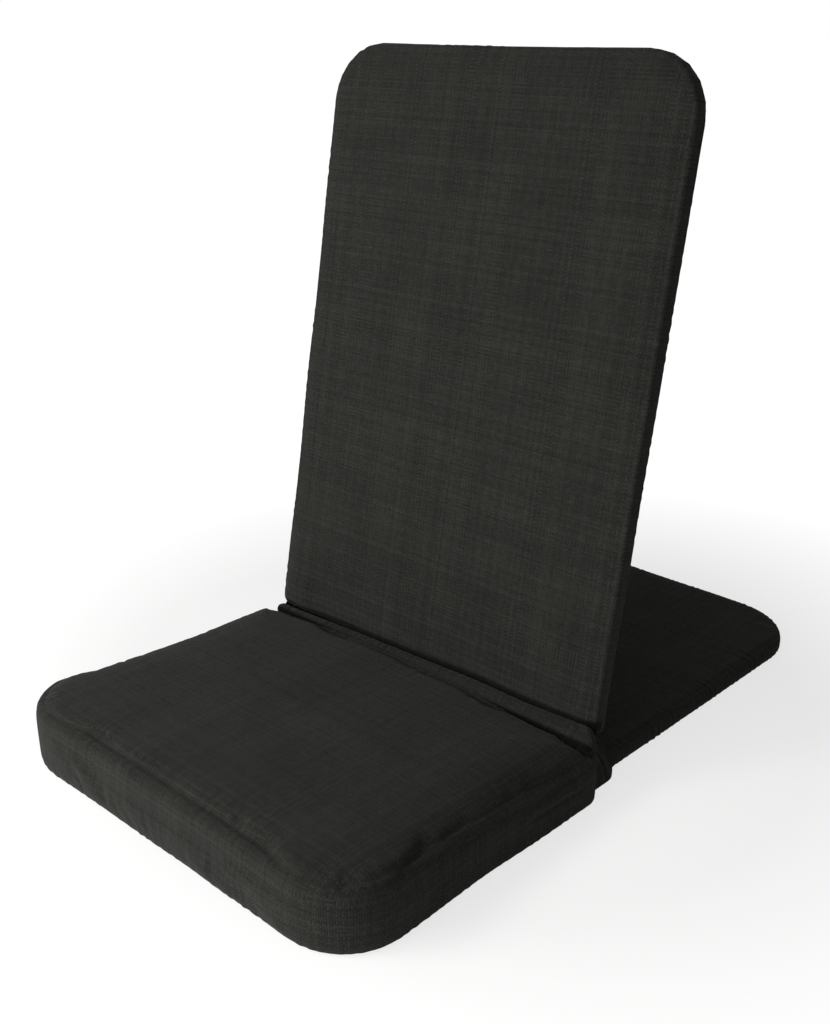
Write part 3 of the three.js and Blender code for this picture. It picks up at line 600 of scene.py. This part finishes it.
def push_out(made, push):
    """Moves each point along its normal, in millimetres."""
    move_to(made, (coordinates(made) / MM + normals(made) * push[:, None]) * MM)


def sew(made, lines, groove, groove_width, pucker, pucker_reach, wave):
    """Draws the seams in and ripples the cloth beside them. All in millimetres."""
    points = coordinates(made) / MM
    push = np.zeros(len(points))
    for seed, line in enumerate(lines):
        distance, along = from_seam(points, line)
        push -= groove * np.exp(-((distance / groove_width) ** 2))
        beside = np.exp(-distance / pucker_reach) * (1 - np.exp(-((distance / groove_width) ** 2)))
        slow = ripple(along, wave * PUCKER_VARIES_OVER, seed + PUCKER_VARIES_SEED)
        strength = PUCKER_STEADY + PUCKER_VARIES * slow
        push += pucker * beside * strength * ripple(along, wave, seed)
    push_out(made, push)


print("ripple stays within", round(float(np.abs(ripple(np.arange(500.0), 12, 1)).max()), 2))

# %% Dents, wrinkles and lumps
DENT_SHIFT = Vector((17.0, 5.0, 11.0))
WRINKLE_STARTS_OVER = 4
WRINKLE_RIDGE_AT = 2
WRINKLE_RIDGE_SHARE = 0.5


def dent(made, depth, size, seed):
    """Slow unevenness of hand-filled foam under the cloth."""
    points = coordinates(made) / MM
    offset = DENT_SHIFT * seed
    push_out(made, np.array([noise.noise(Vector(point / size) + offset) for point in points]) * depth)


def wrinkle(made, line, depth, width):
    """A soft groove along a line of points, with a low ridge at each side. All in millimetres."""
    points = coordinates(made) / MM
    line = np.array(line, float)
    nearest = np.full(len(points), np.inf)
    for start, end in zip(line, line[1:]):
        way = end - start
        share = np.clip((points - start) @ way / (way @ way), 0, 1)
        away = np.linalg.norm(points - start - share[:, None] * way, axis=1)
        from_start = np.linalg.norm(points - line[0], axis=1) / (WRINKLE_STARTS_OVER * width)
        nearest = np.minimum(nearest, away + width * np.maximum(0, 1 - from_start))
    groove = np.exp(-((nearest / width) ** 2))
    ridge = np.exp(-(((nearest - WRINKLE_RIDGE_AT * width) / width) ** 2))
    push_out(made, depth * (WRINKLE_RIDGE_SHARE * ridge - groove))


def lumps(made, places):
    """Round swellings: each has a middle, a reach and a height. A negative height is a hollow."""
    points = coordinates(made) / MM
    push = np.zeros(len(points))
    for middle, reach, height in places:
        away = np.linalg.norm(points - np.array(middle), axis=1)
        push += height * np.exp(-((away / reach) ** 2))
    push_out(made, push)


print("a wrinkle starts over", WRINKLE_STARTS_OVER, "widths")

# %% Room for the foam, and rest on the floor
COVER_GAP = 1.3
LOOK_FROM = 12.0


def clear_of(made, nodes):
    """Lifts the cover along its own normals where the foam inside would come through."""
    points, facing_out = coordinates(made) / MM, normals(made)
    lift = np.zeros(len(points))
    for node in nodes:
        solid = frame["nodes"][node]
        to_cover = made.matrix_world.inverted() @ solid.matrix_world
        corners = [(to_cover @ vertex.co) / MM for vertex in solid.data.vertices]
        tree = BVHTree.FromPolygons(corners, [tuple(face.vertices) for face in solid.data.polygons])
        for number, (point, out) in enumerate(zip(points, facing_out)):
            out = Vector(out)
            hit = tree.ray_cast(Vector(point) + out * LOOK_FROM, -out, LOOK_FROM + COVER_GAP)
            if hit[0] is not None:
                lift[number] = max(lift[number], LOOK_FROM + COVER_GAP - hit[3])
    push_out(made, lift)
    print(made.name, "lifted at", int((lift > 0).sum()), "points, at most", lift.max().round(2), "mm")


def paint_shade(made, shares):
    """Stores at each point how much painted shade darkens the canvas, from 0 to 1."""
    stored = made.data.attributes.new(SHADE_ATTRIBUTE, "FLOAT", "POINT")
    stored.data.foreach_set("value", np.asarray(shares, np.float32))


def rest_on_floor(made):
    points = coordinates(made)
    points[:, 2] = np.maximum(points[:, 2], 0.0)
    move_to(made, points)


def swell_and_sew(made, loops, held, recipe):
    """What every cushion goes through between its cut and its place on the foam."""
    simulate(made, held, **recipe["swell"])
    seams = [coordinates(made)[loop] / MM for loop in loops]
    subdivide(made)
    dent(made, **recipe["dent"])
    sew(made, seams, **recipe["sewing"])


print("covers keep", COVER_GAP, "mm from the foam")

# %% [markdown]
# ## Seat cushion
# The seat is a foam block a little over 60 mm thick in a boxed cover. Its crown is low. Towards the
# rear its two sides sink, because the foam is squeezed there by the frame. The boxing strip is pulled
# over the foam's edge, so the upper seam lies on top, a finger's width in from the side. The cloth is
# slack at the front corner and beside the hinge, where a few listed wrinkles and lumps are pressed in.

# %% Height of the seat
SEAT_FRONT_HEIGHT = 68.0
SEAT_REAR_HEIGHT = 62.0
SEAT_CROWN = 7.0
SEAT_CROWN_REACH = 30.0
SEAT_SIDE_DROP = 23.0
SEAT_DROP_STARTS_SHARE = 0.16
SEAT_DROP_SPREAD_SHARE = 0.34
SEAT_DROP_POWER = 3
SEAT_INTO_CREASE = 12.0
SEAT_TOP_EDGE = 7.0

seat_cut = {
    "half": seat_high[0],
    "near": seat_low[1],
    "far": seat_high[1] + SEAT_INTO_CREASE,
    "near_radius": 76.0,
    "far_radius": 9.0,
}


def seat_top(x, y, inset):
    share = (y - seat_cut["near"]) / (seat_cut["far"] - seat_cut["near"])
    late = 1 - np.exp(-np.maximum(share - SEAT_DROP_STARTS_SHARE, 0) / SEAT_DROP_SPREAD_SHARE)
    drop = SEAT_SIDE_DROP * np.abs(x / seat_cut["half"]) ** SEAT_DROP_POWER * late
    edge = SEAT_FRONT_HEIGHT + (SEAT_REAR_HEIGHT - SEAT_FRONT_HEIGHT) * share
    inner = np.maximum(inset - SEAT_TOP_EDGE, 0)
    crown = SEAT_CROWN * (1 - np.exp(-inner / SEAT_CROWN_REACH))
    return edge + crown - drop * np.exp(-inner / SEAT_CROWN_REACH)


def flat_bottom(x, y, inset):
    return np.zeros_like(x)


print("seat:", SEAT_FRONT_HEIGHT, "mm high in front,", SEAT_REAR_HEIGHT, "mm at the rear")

# %% Cloth of the seat
SEAT_DRAW_IN = 1.5
SEAT_SEAMS = (3.5, 10.0)
SEAT_CELL = 4.5
SEAT_RECIPE = {
    "swell": {"spare_cloth": 0.02, "cap": 6},
    "dent": {"depth": 1.6, "size": 95.0, "seed": 1},
    "sewing": {"groove": 1.1, "groove_width": 3.0, "pucker": 0.6, "pucker_reach": 13.0, "wave": 13.0},
}
ON_FLOOR = 0.01


def draw_in(points, cut, depth):
    """Pulls the middles of the sides in between the corners."""
    across = points[:, 0] / cut["half"]
    middle = (cut["near"] + cut["far"]) / 2
    along = (points[:, 1] - middle) / (cut["far"] - middle)
    points[:, 0] -= depth * across * np.cos(math.pi / 2 * np.clip(along, -1, 1))
    points[:, 1] -= depth * along * np.cos(math.pi / 2 * np.clip(across, -1, 1))


seat_points, seat_faces, seat_loops = boxed_cushion(
    seat_cut, SEAT_CELL, SEAT_SEAMS, squareness=4.5, top=seat_top, bottom=flat_bottom, strip_cells=14
)
draw_in(seat_points, seat_cut, SEAT_DRAW_IN)
seat_cushion = soft_object("seat_cushion", seat_points, seat_faces, flat_place)
seat_under = np.flatnonzero(seat_points[:, 2] < ON_FLOOR)
swell_and_sew(seat_cushion, seat_loops, seat_under, SEAT_RECIPE)
print("seat cushion:", len(seat_cushion.data.vertices), "vertices")

# %% Wrinkles of the seat
SEAT_WRINKLES = [
    ([(105, -428, 47), (160, -431, 49), (205, -430, 48), (242, -404, 47)], 1.2, 3.2),
    ([(180, -408, 68), (222, -394, 67), (240, -372, 66)], 0.9, 3.6),
    ([(262, -180, 34), (260, -130, 30), (256, -84, 26)], 1.3, 3.4),
    ([(246, -128, 51), (236, -100, 50), (214, -82, 52)], 1.3, 4.2),
]
SEAT_LUMPS = [
    ((240, -78, 46), 12.0, 2.2),
    ((254, -100, 40), 9.0, 1.6),
    ((205, -74, 54), 13.0, 1.8),
    ((-150, -80, 60), 22.0, 1.5),
]

for line, depth, width in SEAT_WRINKLES:
    wrinkle(seat_cushion, line, depth, width)
lumps(seat_cushion, SEAT_LUMPS)
clear_of(seat_cushion, ["seat_foam"])
rest_on_floor(seat_cushion)
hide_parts("seat_cover")
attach(seat_cushion, "base")
print("seat:", len(SEAT_WRINKLES), "wrinkles and", len(SEAT_LUMPS), "lumps")

# %% [markdown]
# ## Back cushion
# The back is a long thin panel: foam on both sides of a steel hoop, in a cover with a narrow boxing
# strip. Its top corners are wide and round, its bottom corners are tight. The foam bulges a little
# where the lower corners press on the seat. The strip in the crease leans on its front with a crest,
# which stands higher above the hinge to the right.

# %% Faces of the back
BACK_FRONT = 8.4
BACK_REAR = 35.4
BACK_CROWN = 3.0
BACK_CROWN_REACH = 26.0
BACK_FILL = 0.6
BACK_BOTTOM = 4.0
BACK_TOP = 690.0

back_cut = {
    "half": back_high[0],
    "near": BACK_BOTTOM,
    "far": BACK_TOP,
    "near_radius": 10.0,
    "far_radius": 66.0,
}


def back_front_face(x, y, inset):
    return -BACK_FRONT - BACK_CROWN * np.exp(-inset / BACK_CROWN_REACH) - BACK_FILL


def back_rear_face(x, y, inset):
    return -BACK_REAR + BACK_CROWN * np.exp(-inset / BACK_CROWN_REACH) + BACK_FILL


print("back:", round(BACK_REAR - BACK_FRONT, 1), "mm thick at its seams")

# %% Cloth of the back
BACK_DRAW_IN = 1.2
BACK_SEAMS = (3.5, 3.5)
BACK_CELL = 5.2
BACK_RECIPE = {
    "swell": {"spare_cloth": 0.012, "cap": 2.0},
    "dent": {"depth": 1.2, "size": 120.0, "seed": 2},
    "sewing": {"groove": 1.3, "groove_width": 2.6, "pucker": 0.45, "pucker_reach": 12.0, "wave": 13.0},
}
BACK_LUMPS = [
    ((-206, 30, -8), 24.0, 4.5),
    ((-140, 22, -8), 26.0, -1.0),
    ((196, 36, -8), 26.0, 1.6),
]

back_points, back_faces, back_loops = boxed_cushion(
    back_cut, BACK_CELL, BACK_SEAMS, squareness=3.2, top=back_front_face, bottom=back_rear_face, strip_cells=6
)
draw_in(back_points, back_cut, BACK_DRAW_IN)
back_cushion = soft_object("back_cushion", back_points, back_faces, back_place)
swell_and_sew(back_cushion, back_loops, [], BACK_RECIPE)
lumps(back_cushion, BACK_LUMPS)
clear_of(back_cushion, ["back_foam_front", "back_foam_rear"])
print("back cushion:", len(back_cushion.data.vertices), "vertices")

# %% The back's painted shade at its foot
CREST_PLACES = (-232, -205, -150, -93, 0, 89, 160, 205, 252)
CREST_REACHES = (7.4, 7.8, 10.0, 12.0, 14.5, 17.5, 17.0, 19.0, 21.0)
CREST_LINE_RISE = 3.4
CREST_LINE_SOFT = 2.4

# Painted shade: the cloth below the line where the crease's strip leans on it is drawn darker
back_now = coordinates(back_cushion) / MM
crest_line = np.interp(back_now[:, 0], CREST_PLACES, CREST_REACHES) + CREST_LINE_RISE
shade_below_line = np.clip((crest_line - back_now[:, 1]) / CREST_LINE_SOFT + 0.5, 0, 1)
paint_shade(back_cushion, shade_below_line * (back_now[:, 2] > -(BACK_FRONT + BACK_REAR) / 2))
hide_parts("back_cover")
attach(back_cushion, "back")
print("dark up to", crest_line.max().round(1), "mm above the hinge")

# %% [markdown]
# ## Tail
# The tail is the thin sleeve over the rear hoop, with a pad in it. It lies flat on the floor. Its
# edge is gathered by the seam into short ribs, which show along its side.

# %% Tail
TAIL_SEAMS = (3.0, 4.0)
TAIL_EDGE_BELOW_TOP = 0.6
TAIL_CROWN = 0.8
TAIL_CROWN_REACH = 20.0
TAIL_CELL = 5.2
TAIL_RECIPE = {
    "swell": {"spare_cloth": 0.015, "cap": 1.5},
    "dent": {"depth": 0.9, "size": 80.0, "seed": 3},
    "sewing": {"groove": 1.0, "groove_width": 2.4, "pucker": 0.9, "pucker_reach": 9.0, "wave": 9.0},
}

tail_cut = {
    "half": tail_high[0],
    "near": tail_low[1],
    "far": tail_high[1],
    "near_radius": 5.0,
    "far_radius": 96.0,
}


def tail_top(x, y, inset):
    return tail_high[2] - TAIL_EDGE_BELOW_TOP + TAIL_CROWN * (1 - np.exp(-inset / TAIL_CROWN_REACH))


tail_points, tail_faces, tail_loops = boxed_cushion(
    tail_cut, TAIL_CELL, TAIL_SEAMS, squareness=3.0, top=tail_top, bottom=flat_bottom, strip_cells=5
)
tail_sleeve = soft_object("tail_sleeve", tail_points, tail_faces, flat_place)
tail_under = np.flatnonzero(tail_points[:, 2] < ON_FLOOR)
swell_and_sew(tail_sleeve, tail_loops, tail_under, TAIL_RECIPE)
clear_of(tail_sleeve, ["tail_pad", "tail_frame_tube"])
rest_on_floor(tail_sleeve)
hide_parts("tail_cover")
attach(tail_sleeve, "base")
print("tail:", len(tail_sleeve.data.vertices), "vertices")

# %% [markdown]
# ## The strip of cloth in the crease
# Between the seat and the back, the cover is gathered over the hinge rod, so that nothing can be
# pinched there. It could be a plain cylinder, but then the crease would look like a pipe. Cloth that is
# drawn together along a rod stands up in short ridges square to it, and leans on what is behind it. So
# every point gets its own radius: round the rod in front, and rising to a crest against the back, which
# is higher to the right. At its right end the spare cloth hangs from the back's lower corner in a swag,
# whose folds are arcs round that corner.

# %% The strip along the rod
STRIP_RADIUS = 7.4
STRIP_LEFT_RADIUS = 7.3
STRIP_RIGHT_RADIUS = 8.8
STRIP_SWELLS_OVER = 34.0
STRIP_LEFT = -cap_high[0] - 3.5
STRIP_RIGHT = cap_high[0] + 21.0
STRIP_LEFT_DOME = 3.0
STRIP_RIGHT_DOME = 13.0
STRIP_STEP = 2.0
STRIP_SIDES = 80

strip_x = np.linspace(STRIP_LEFT, STRIP_RIGHT, round((STRIP_RIGHT - STRIP_LEFT) / STRIP_STEP) + 1)
strip_angle = np.linspace(0, 2 * math.pi, STRIP_SIDES, endpoint=False)
to_end = np.minimum(strip_x - STRIP_LEFT, STRIP_RIGHT - strip_x)
near_end = np.sqrt(np.clip(1 - to_end / STRIP_SWELLS_OVER, 0, 1))
dome = np.clip(to_end / np.where(strip_x > 0, STRIP_RIGHT_DOME, STRIP_LEFT_DOME), 0, 1)
dome = np.sqrt(1 - (1 - dome) ** 2)
crest = np.interp(strip_x, CREST_PLACES, CREST_REACHES)
print("strip from", round(STRIP_LEFT, 1), "to", round(STRIP_RIGHT, 1), "mm in", len(strip_x), "rings")

# %% The strip around the rod
CREST_CLEARANCE = 2.4
CREST_ANGLE = math.radians(62)
CREST_SPREAD = math.radians(32)
CREST_SMOOTH = math.radians(16)
CREST_SMOOTH_SHARE = 0.85
BACK_STARTS_ANGLE = math.radians(20)
BACK_ENDS_ANGLE = math.radians(180)
LEAST_TOWARDS = 0.05
SHADE_ON_STRIP = 0.2
SHADE_BEHIND_CREST = 0.6
SHADE_BEHIND_OVER = math.radians(14)
SHADE_BY_SEAT_FROM = math.radians(112)
SHADE_BY_SEAT_OVER = math.radians(24)

# How far the cloth may reach at each angle before it meets the back's front face
towards_back = np.cos(strip_angle) * math.cos(RECLINE) - np.sin(strip_angle) * math.sin(RECLINE)
room = (BACK_FRONT - CREST_CLEARANCE) / np.maximum(towards_back, LEAST_TOWARDS)
meets_back = (strip_angle > BACK_STARTS_ANGLE) & (strip_angle < BACK_ENDS_ANGLE)
room = np.where(meets_back & (towards_back > LEAST_TOWARDS), room, np.inf)
leaning = np.exp(-(((strip_angle - CREST_ANGLE) / CREST_SPREAD) ** 2))
even_crest = 1 - CREST_SMOOTH_SHARE * np.exp(-(((strip_angle - CREST_ANGLE) / CREST_SMOOTH) ** 2))

# Painted shade: darkest behind the crest and beside the seat, and a little all round
behind_crest = np.clip((CREST_ANGLE - strip_angle) / SHADE_BEHIND_OVER + SHADE_BEHIND_CREST, 0, 1)
by_the_seat = np.clip((strip_angle - SHADE_BY_SEAT_FROM) / SHADE_BY_SEAT_OVER, 0, 1)
painted_shade_around = np.maximum(np.maximum(behind_crest, by_the_seat), SHADE_ON_STRIP)
print("the crest stands at", round(math.degrees(CREST_ANGLE)), "degrees above the rear")

# %% Folds of the strip, and its mesh
RIDGE_HEIGHT = 0.7
RIDGE_END_HEIGHT = 1.1
RIDGE_WAVE = 12.0
RIDGE_SLANT = 5.0
RIDGE_TWIST = 60.0
RIDGE_TOP = 0.4
RIDGE_SEEDS = (21, 22)
RIDGE_ROUND_SHARE = 0.5
SWAG_X = 246.0
SWAG_ANGLE = math.radians(28)
SWAG_WAVE = 9.5
SWAG_DEPTH = 1.6
SWAG_REACH = 34.0
SWAG_ROUND_SHARE = 0.3

strip_points = []
for x, end_share, dome_share, reach in zip(strip_x, near_end, dome, crest):
    slanted = x + RIDGE_SLANT * np.sin(strip_angle + x / RIDGE_TWIST)
    ridges = ripple(slanted, RIDGE_WAVE, RIDGE_SEEDS[0]) + ripple(slanted, RIDGE_WAVE / 2, RIDGE_SEEDS[1]) / 2
    height = RIDGE_HEIGHT + (RIDGE_END_HEIGHT - RIDGE_HEIGHT) * end_share
    ridges = height * (RIDGE_ROUND_SHARE + leaning) * np.minimum(ridges, RIDGE_TOP)
    end_radius = STRIP_RIGHT_RADIUS if x > 0 else STRIP_LEFT_RADIUS
    radius = STRIP_RADIUS + (end_radius - STRIP_RADIUS) * end_share
    radius = radius + (reach - radius) * leaning
    from_swag = np.hypot(SWAG_X - x, reach * (strip_angle - SWAG_ANGLE))
    swag_share = np.exp(-((from_swag / SWAG_REACH) ** 4))
    swag = SWAG_DEPTH * np.cos(2 * math.pi * from_swag / SWAG_WAVE) * (SWAG_ROUND_SHARE + leaning)
    folds = swag * swag_share + ridges * (1 - swag_share)
    radius = np.minimum(radius + folds * even_crest, room) * dome_share
    ring = [np.full(STRIP_SIDES, x), radius * np.cos(strip_angle), radius * np.sin(strip_angle)]
    strip_points.append(np.stack(ring, axis=1))
strip_points = np.concatenate(strip_points)
ring_number = np.arange(len(strip_points)).reshape(len(strip_x), STRIP_SIDES)
next_number = np.roll(ring_number, -1, axis=1)
strip_faces = np.stack([ring_number[:-1], ring_number[1:], next_number[1:], next_number[:-1]], axis=-1)
crease_roll = soft_object("crease_roll", strip_points, strip_faces.reshape(-1, 4), Matrix.Translation(axis))
# Painted shade on the strip: darkest behind the crest and beside the seat, lighter elsewhere
paint_shade(crease_roll, np.tile(painted_shade_around, len(strip_x)))
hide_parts("hinge_sleeve")
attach(crease_roll, "base")
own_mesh(crease_roll)
print("crease strip: highest", strip_points[:, 2].max().round(1), "mm above the axis")

# %% [markdown]
# ## The gusset under the back
# Behind the strip, a skirt of the same cloth closes the gap between the back's lower edge and the tail.
# Its sides start at the seat's rear corners and stand on the floor beside the tail. It has to be longer
# than the gap, because the gap opens as the back folds forward. At rest the spare cloth hangs in loose
# folds. The mesh is blended from the base to the back: its lower edge lies on the tail, its upper edge
# at the back cushion's lower edge.

# %% Edges of the gusset
GUSSET_FRONT_DEPTH = 11.0
GUSSET_REAR_DEPTH = 32.0
GUSSET_TUCK = 5.0
TOP_HALF = 234.0
FOOT_HALF = 248.0
FOOT_FRONT = -76.0
FOOT_REAR = -2.0
TOP_CORNER = 10.0
FOOT_CORNER = 26.0
FOOT_HEIGHT = 1.0
GUSSET_INTO_TAIL = 2.0
GUSSET_STEP = 2.6
CORNER_POINTS = 9


def skirt_path(half, front, rear, corner, count):
    """From the left front, round the rear, to the right front: places and outward directions."""
    turns = np.linspace(0, math.pi / 2, CORNER_POINTS)
    left = np.stack([half - corner + corner * np.cos(turns), rear - corner + corner * np.sin(turns)], axis=1)
    right = left[::-1] * (-1, 1)
    line = np.vstack([[half, front], left, right, [-half, front]])
    along = np.concatenate([[0], np.cumsum(np.linalg.norm(np.diff(line, axis=0), axis=1))])
    even = np.linspace(0, along[-1], count)
    places = np.stack([np.interp(even, along, line[:, k]) for k in range(2)], axis=1)
    way = np.gradient(places, axis=0)
    out = np.stack([way[:, 1], -way[:, 0]], axis=1)
    return places, out / np.linalg.norm(out, axis=1, keepdims=True), even


gusset_around = 2 * (TOP_HALF + GUSSET_REAR_DEPTH - GUSSET_FRONT_DEPTH)
gusset_columns = round(gusset_around / GUSSET_STEP)
foot, foot_out, foot_along = skirt_path(
    FOOT_HALF, FOOT_FRONT, FOOT_REAR, FOOT_CORNER, gusset_columns
)
head, _, _ = skirt_path(
    TOP_HALF, GUSSET_FRONT_DEPTH, GUSSET_REAR_DEPTH, TOP_CORNER, gusset_columns
)
head_local = np.stack([head[:, 0], np.full(gusset_columns, BACK_BOTTOM + GUSSET_TUCK), -head[:, 1]], axis=1)
head_mm = np.array([back_place @ Vector(point * MM) for point in head_local]) / MM
over_tail_edge = np.abs(foot[:, 0]) - tail_high[0] + GUSSET_INTO_TAIL
beside_tail = np.clip(over_tail_edge / (FOOT_HALF - tail_high[0]), 0, 1)
on_tail = tail_high[2] - GUSSET_INTO_TAIL
foot_height = on_tail * (1 - beside_tail) + FOOT_HEIGHT * beside_tail
foot_mm = np.column_stack([foot, foot_height])
outwards = np.column_stack([foot_out, np.zeros(gusset_columns)])
print("gusset:", gusset_columns, "columns,", round(float(foot_along[-1])), "mm round")

# %% Folds of the gusset, and its mesh
GUSSET_ROWS = 22
SLACK_POWER = 0.7
GUSSET_SAG = 7.0
FOLD = 4.0
FOLD_LENGTH = 60.0
FOLDS_DOWN = 3.4
FOLD_SLANT = 190
FOLD_SEED = 4.0
GATHER = 0.9
GATHER_WAVE = 15.0
GATHER_SHIFT = 9
GATHER_SEED = 31


def fold_at(along, down):
    lower = down * FOLDS_DOWN + along / FOLD_SLANT
    return noise.noise(Vector((along / FOLD_LENGTH, lower, FOLD_SEED)))


gusset_points = []
for down in np.linspace(0, 1, GUSSET_ROWS):
    loose = math.sin(math.pi * down) ** SLACK_POWER
    folds = FOLD * np.array([fold_at(along, down) for along in foot_along])
    gathered_at = foot_along + GATHER_SHIFT * down
    gather = GATHER * ripple(gathered_at, GATHER_WAVE, GATHER_SEED)
    push = loose * (GUSSET_SAG * down + folds + gather)
    gusset_points.append(head_mm * (1 - down) + foot_mm * down + outwards * push[:, None])
rows = np.arange(GUSSET_ROWS * gusset_columns).reshape(GUSSET_ROWS, gusset_columns)
gusset_faces = np.stack([rows[:-1, :-1], rows[1:, :-1], rows[1:, 1:], rows[:-1, 1:]], axis=-1).reshape(-1, 4)
hinge_gusset = soft_object("hinge_gusset", np.concatenate(gusset_points), gusset_faces, flat_place)
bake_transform(hinge_gusset)

# %% [markdown]
# ## Finishes inside the covers
# The frame, the foam and the hinge hardly show, but the part may be opened up, so each has its real
# finish. Powder coat is baked plastic on steel: satin, with a fine orange peel. Bright zinc plate is a
# thin metal layer that clouds a little. Nylon and polyethylene parts come from a mould with a faint
# spark-eroded grain. Cushion foam is cut polyurethane, matt and full of open cells.

# %% Powder-coated steel
ORANGE_PEEL = 1.6
PEEL_DEPTH = 0.05
PEEL_BUMP = 0.35
DUST_PATCH = 40.0
POWDER_COAT = "#1d1d1f"
SATIN_LOW, SATIN_HIGH = 0.42, 0.56
POWDER_IOR = 1.5

powder_coat, shader, add = new_material("powder_coated_steel")
peel_at = add("TexCoord").outputs["Object"]
peel = add("TexNoise", {"Vector": peel_at, "Scale": 1 / (ORANGE_PEEL * MM), "Detail": 1.0})
dust = add("TexNoise", {"Vector": peel_at, "Scale": 1 / (DUST_PATCH * MM), "Detail": 4.0})
peel_bump = add("Bump", {"Height": peel, "Strength": PEEL_BUMP, "Distance": PEEL_DEPTH * MM})
satin = add("MapRange", {0: dust, **NOISE_SPAN, 3: SATIN_LOW, 4: SATIN_HIGH})
fill_inputs(shader, {
    "Base Color": linear(POWDER_COAT), "Normal": peel_bump, "Roughness": satin, "IOR": POWDER_IOR,
})
print(powder_coat.name, "with peel every", ORANGE_PEEL, "mm")

# %% Zinc-plated steel
ZINC_BRIGHT = "#b3b7ba"
ZINC_CLOUDED = "#9a9ea2"
ZINC_CLOUD = 9.0
ZINC_RAMP = (0.35, 0.65)
ZINC_CLOUDED_ROUGHNESS, ZINC_BRIGHT_ROUGHNESS = 0.42, 0.28

zinc_plate, shader, add = new_material("zinc_plated_steel")
zinc_at = add("TexCoord").outputs["Object"]
cloud = add("TexNoise", {"Vector": zinc_at, "Scale": 1 / (ZINC_CLOUD * MM), "Detail": 5.0})
plated = add("ValToRGB", {0: cloud})
for stop, position, zinc in zip(plated.color_ramp.elements, ZINC_RAMP, (ZINC_CLOUDED, ZINC_BRIGHT)):
    stop.position, stop.color = position, linear(zinc)
roughness = {3: ZINC_CLOUDED_ROUGHNESS, 4: ZINC_BRIGHT_ROUGHNESS}
dulled = add("MapRange", {0: cloud, **NOISE_SPAN, **roughness})
fill_inputs(shader, {"Base Color": plated, "Roughness": dulled, "Metallic": 1.0})
print(zinc_plate.name, "clouded every", ZINC_CLOUD, "mm")

# %% Moulded nylon and polyethylene
MOULD_GRAIN = 0.5
MOULD_GRAIN_DEPTH = 0.03
MOULD_BUMP = 0.3
FLOW_PATCH = 12.0
FLOW_TONES = (0.94, 1.0)
MOULDED = {
    "nylon": {"name": "moulded_nylon", "hex": "#e6e4dc", "roughness": 0.5, "ior": 1.53},
    "plug_plastic": {"name": "moulded_polyethylene", "hex": "#161616", "roughness": 0.6, "ior": 1.51},
}

moulded = {}
for slot, plastic in MOULDED.items():
    made, shader, add = new_material(plastic["name"])
    grain_at = add("TexCoord").outputs["Object"]
    grain = add("TexNoise", {"Vector": grain_at, "Scale": 1 / (MOULD_GRAIN * MM), "Detail": 2.0})
    flow = add("TexNoise", {"Vector": grain_at, "Scale": 1 / (FLOW_PATCH * MM), "Detail": 3.0})
    shade = add("MapRange", {0: flow, **NOISE_SPAN, 3: FLOW_TONES[0], 4: FLOW_TONES[1]})
    tinted = add("VectorMath", {0: linear(plastic["hex"])[:3], "Scale": shade}, operation="SCALE")
    grain_bump = add("Bump", {"Height": grain, "Strength": MOULD_BUMP, "Distance": MOULD_GRAIN_DEPTH * MM})
    fill_inputs(shader, {
        "Base Color": tinted, "Normal": grain_bump, "Roughness": plastic["roughness"], "IOR": plastic["ior"],
    })
    moulded[slot] = made
print("moulded plastics:", ", ".join(made.name for made in moulded.values()))

# %% Cut polyurethane foam
FOAM_CREAM = "#d9d3bd"
FOAM_CELL = 1.1
PORE_DEPTH = 0.4
PORE_BUMP = 0.6
PORE_SHADE_TONE = 0.7
PORE_WIDTH = 0.5
FOAM_ROUGHNESS = 1.0
FOAM_SPECULAR = 0.1

foam, shader, add = new_material("cut_polyurethane_foam")
cells = add("TexVoronoi", {"Vector": add("TexCoord").outputs["Object"], "Scale": 1 / (FOAM_CELL * MM)})
from_cell = cells.outputs["Distance"]
# Painted shade: the foam is drawn darker in the hollows of its open cells
pore_shade = add("MapRange", {0: from_cell, 1: 0.0, 2: PORE_WIDTH, 3: PORE_SHADE_TONE, 4: 1.0})
foam_tone = add("VectorMath", {0: linear(FOAM_CREAM)[:3], "Scale": pore_shade}, operation="SCALE")
pore_bump = add("Bump", {"Height": from_cell, "Strength": PORE_BUMP, "Distance": PORE_DEPTH * MM})
fill_inputs(shader, {
    "Base Color": foam_tone, "Normal": pore_bump, "Roughness": FOAM_ROUGHNESS,
    "Specular IOR Level": FOAM_SPECULAR,
})
print(foam.name, "with cells of", FOAM_CELL, "mm")

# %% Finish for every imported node
finish_of_slot = {
    "cover_fabric": canvas, "foam": foam, "frame_steel": powder_coat, "zinc_steel": zinc_plate, **moulded,
}
for part in frame["record"]["subparts"]:
    for material_slot in frame["nodes"][part["node"]].material_slots:
        material_slot.material = finish_of_slot[part["material_slot"]]
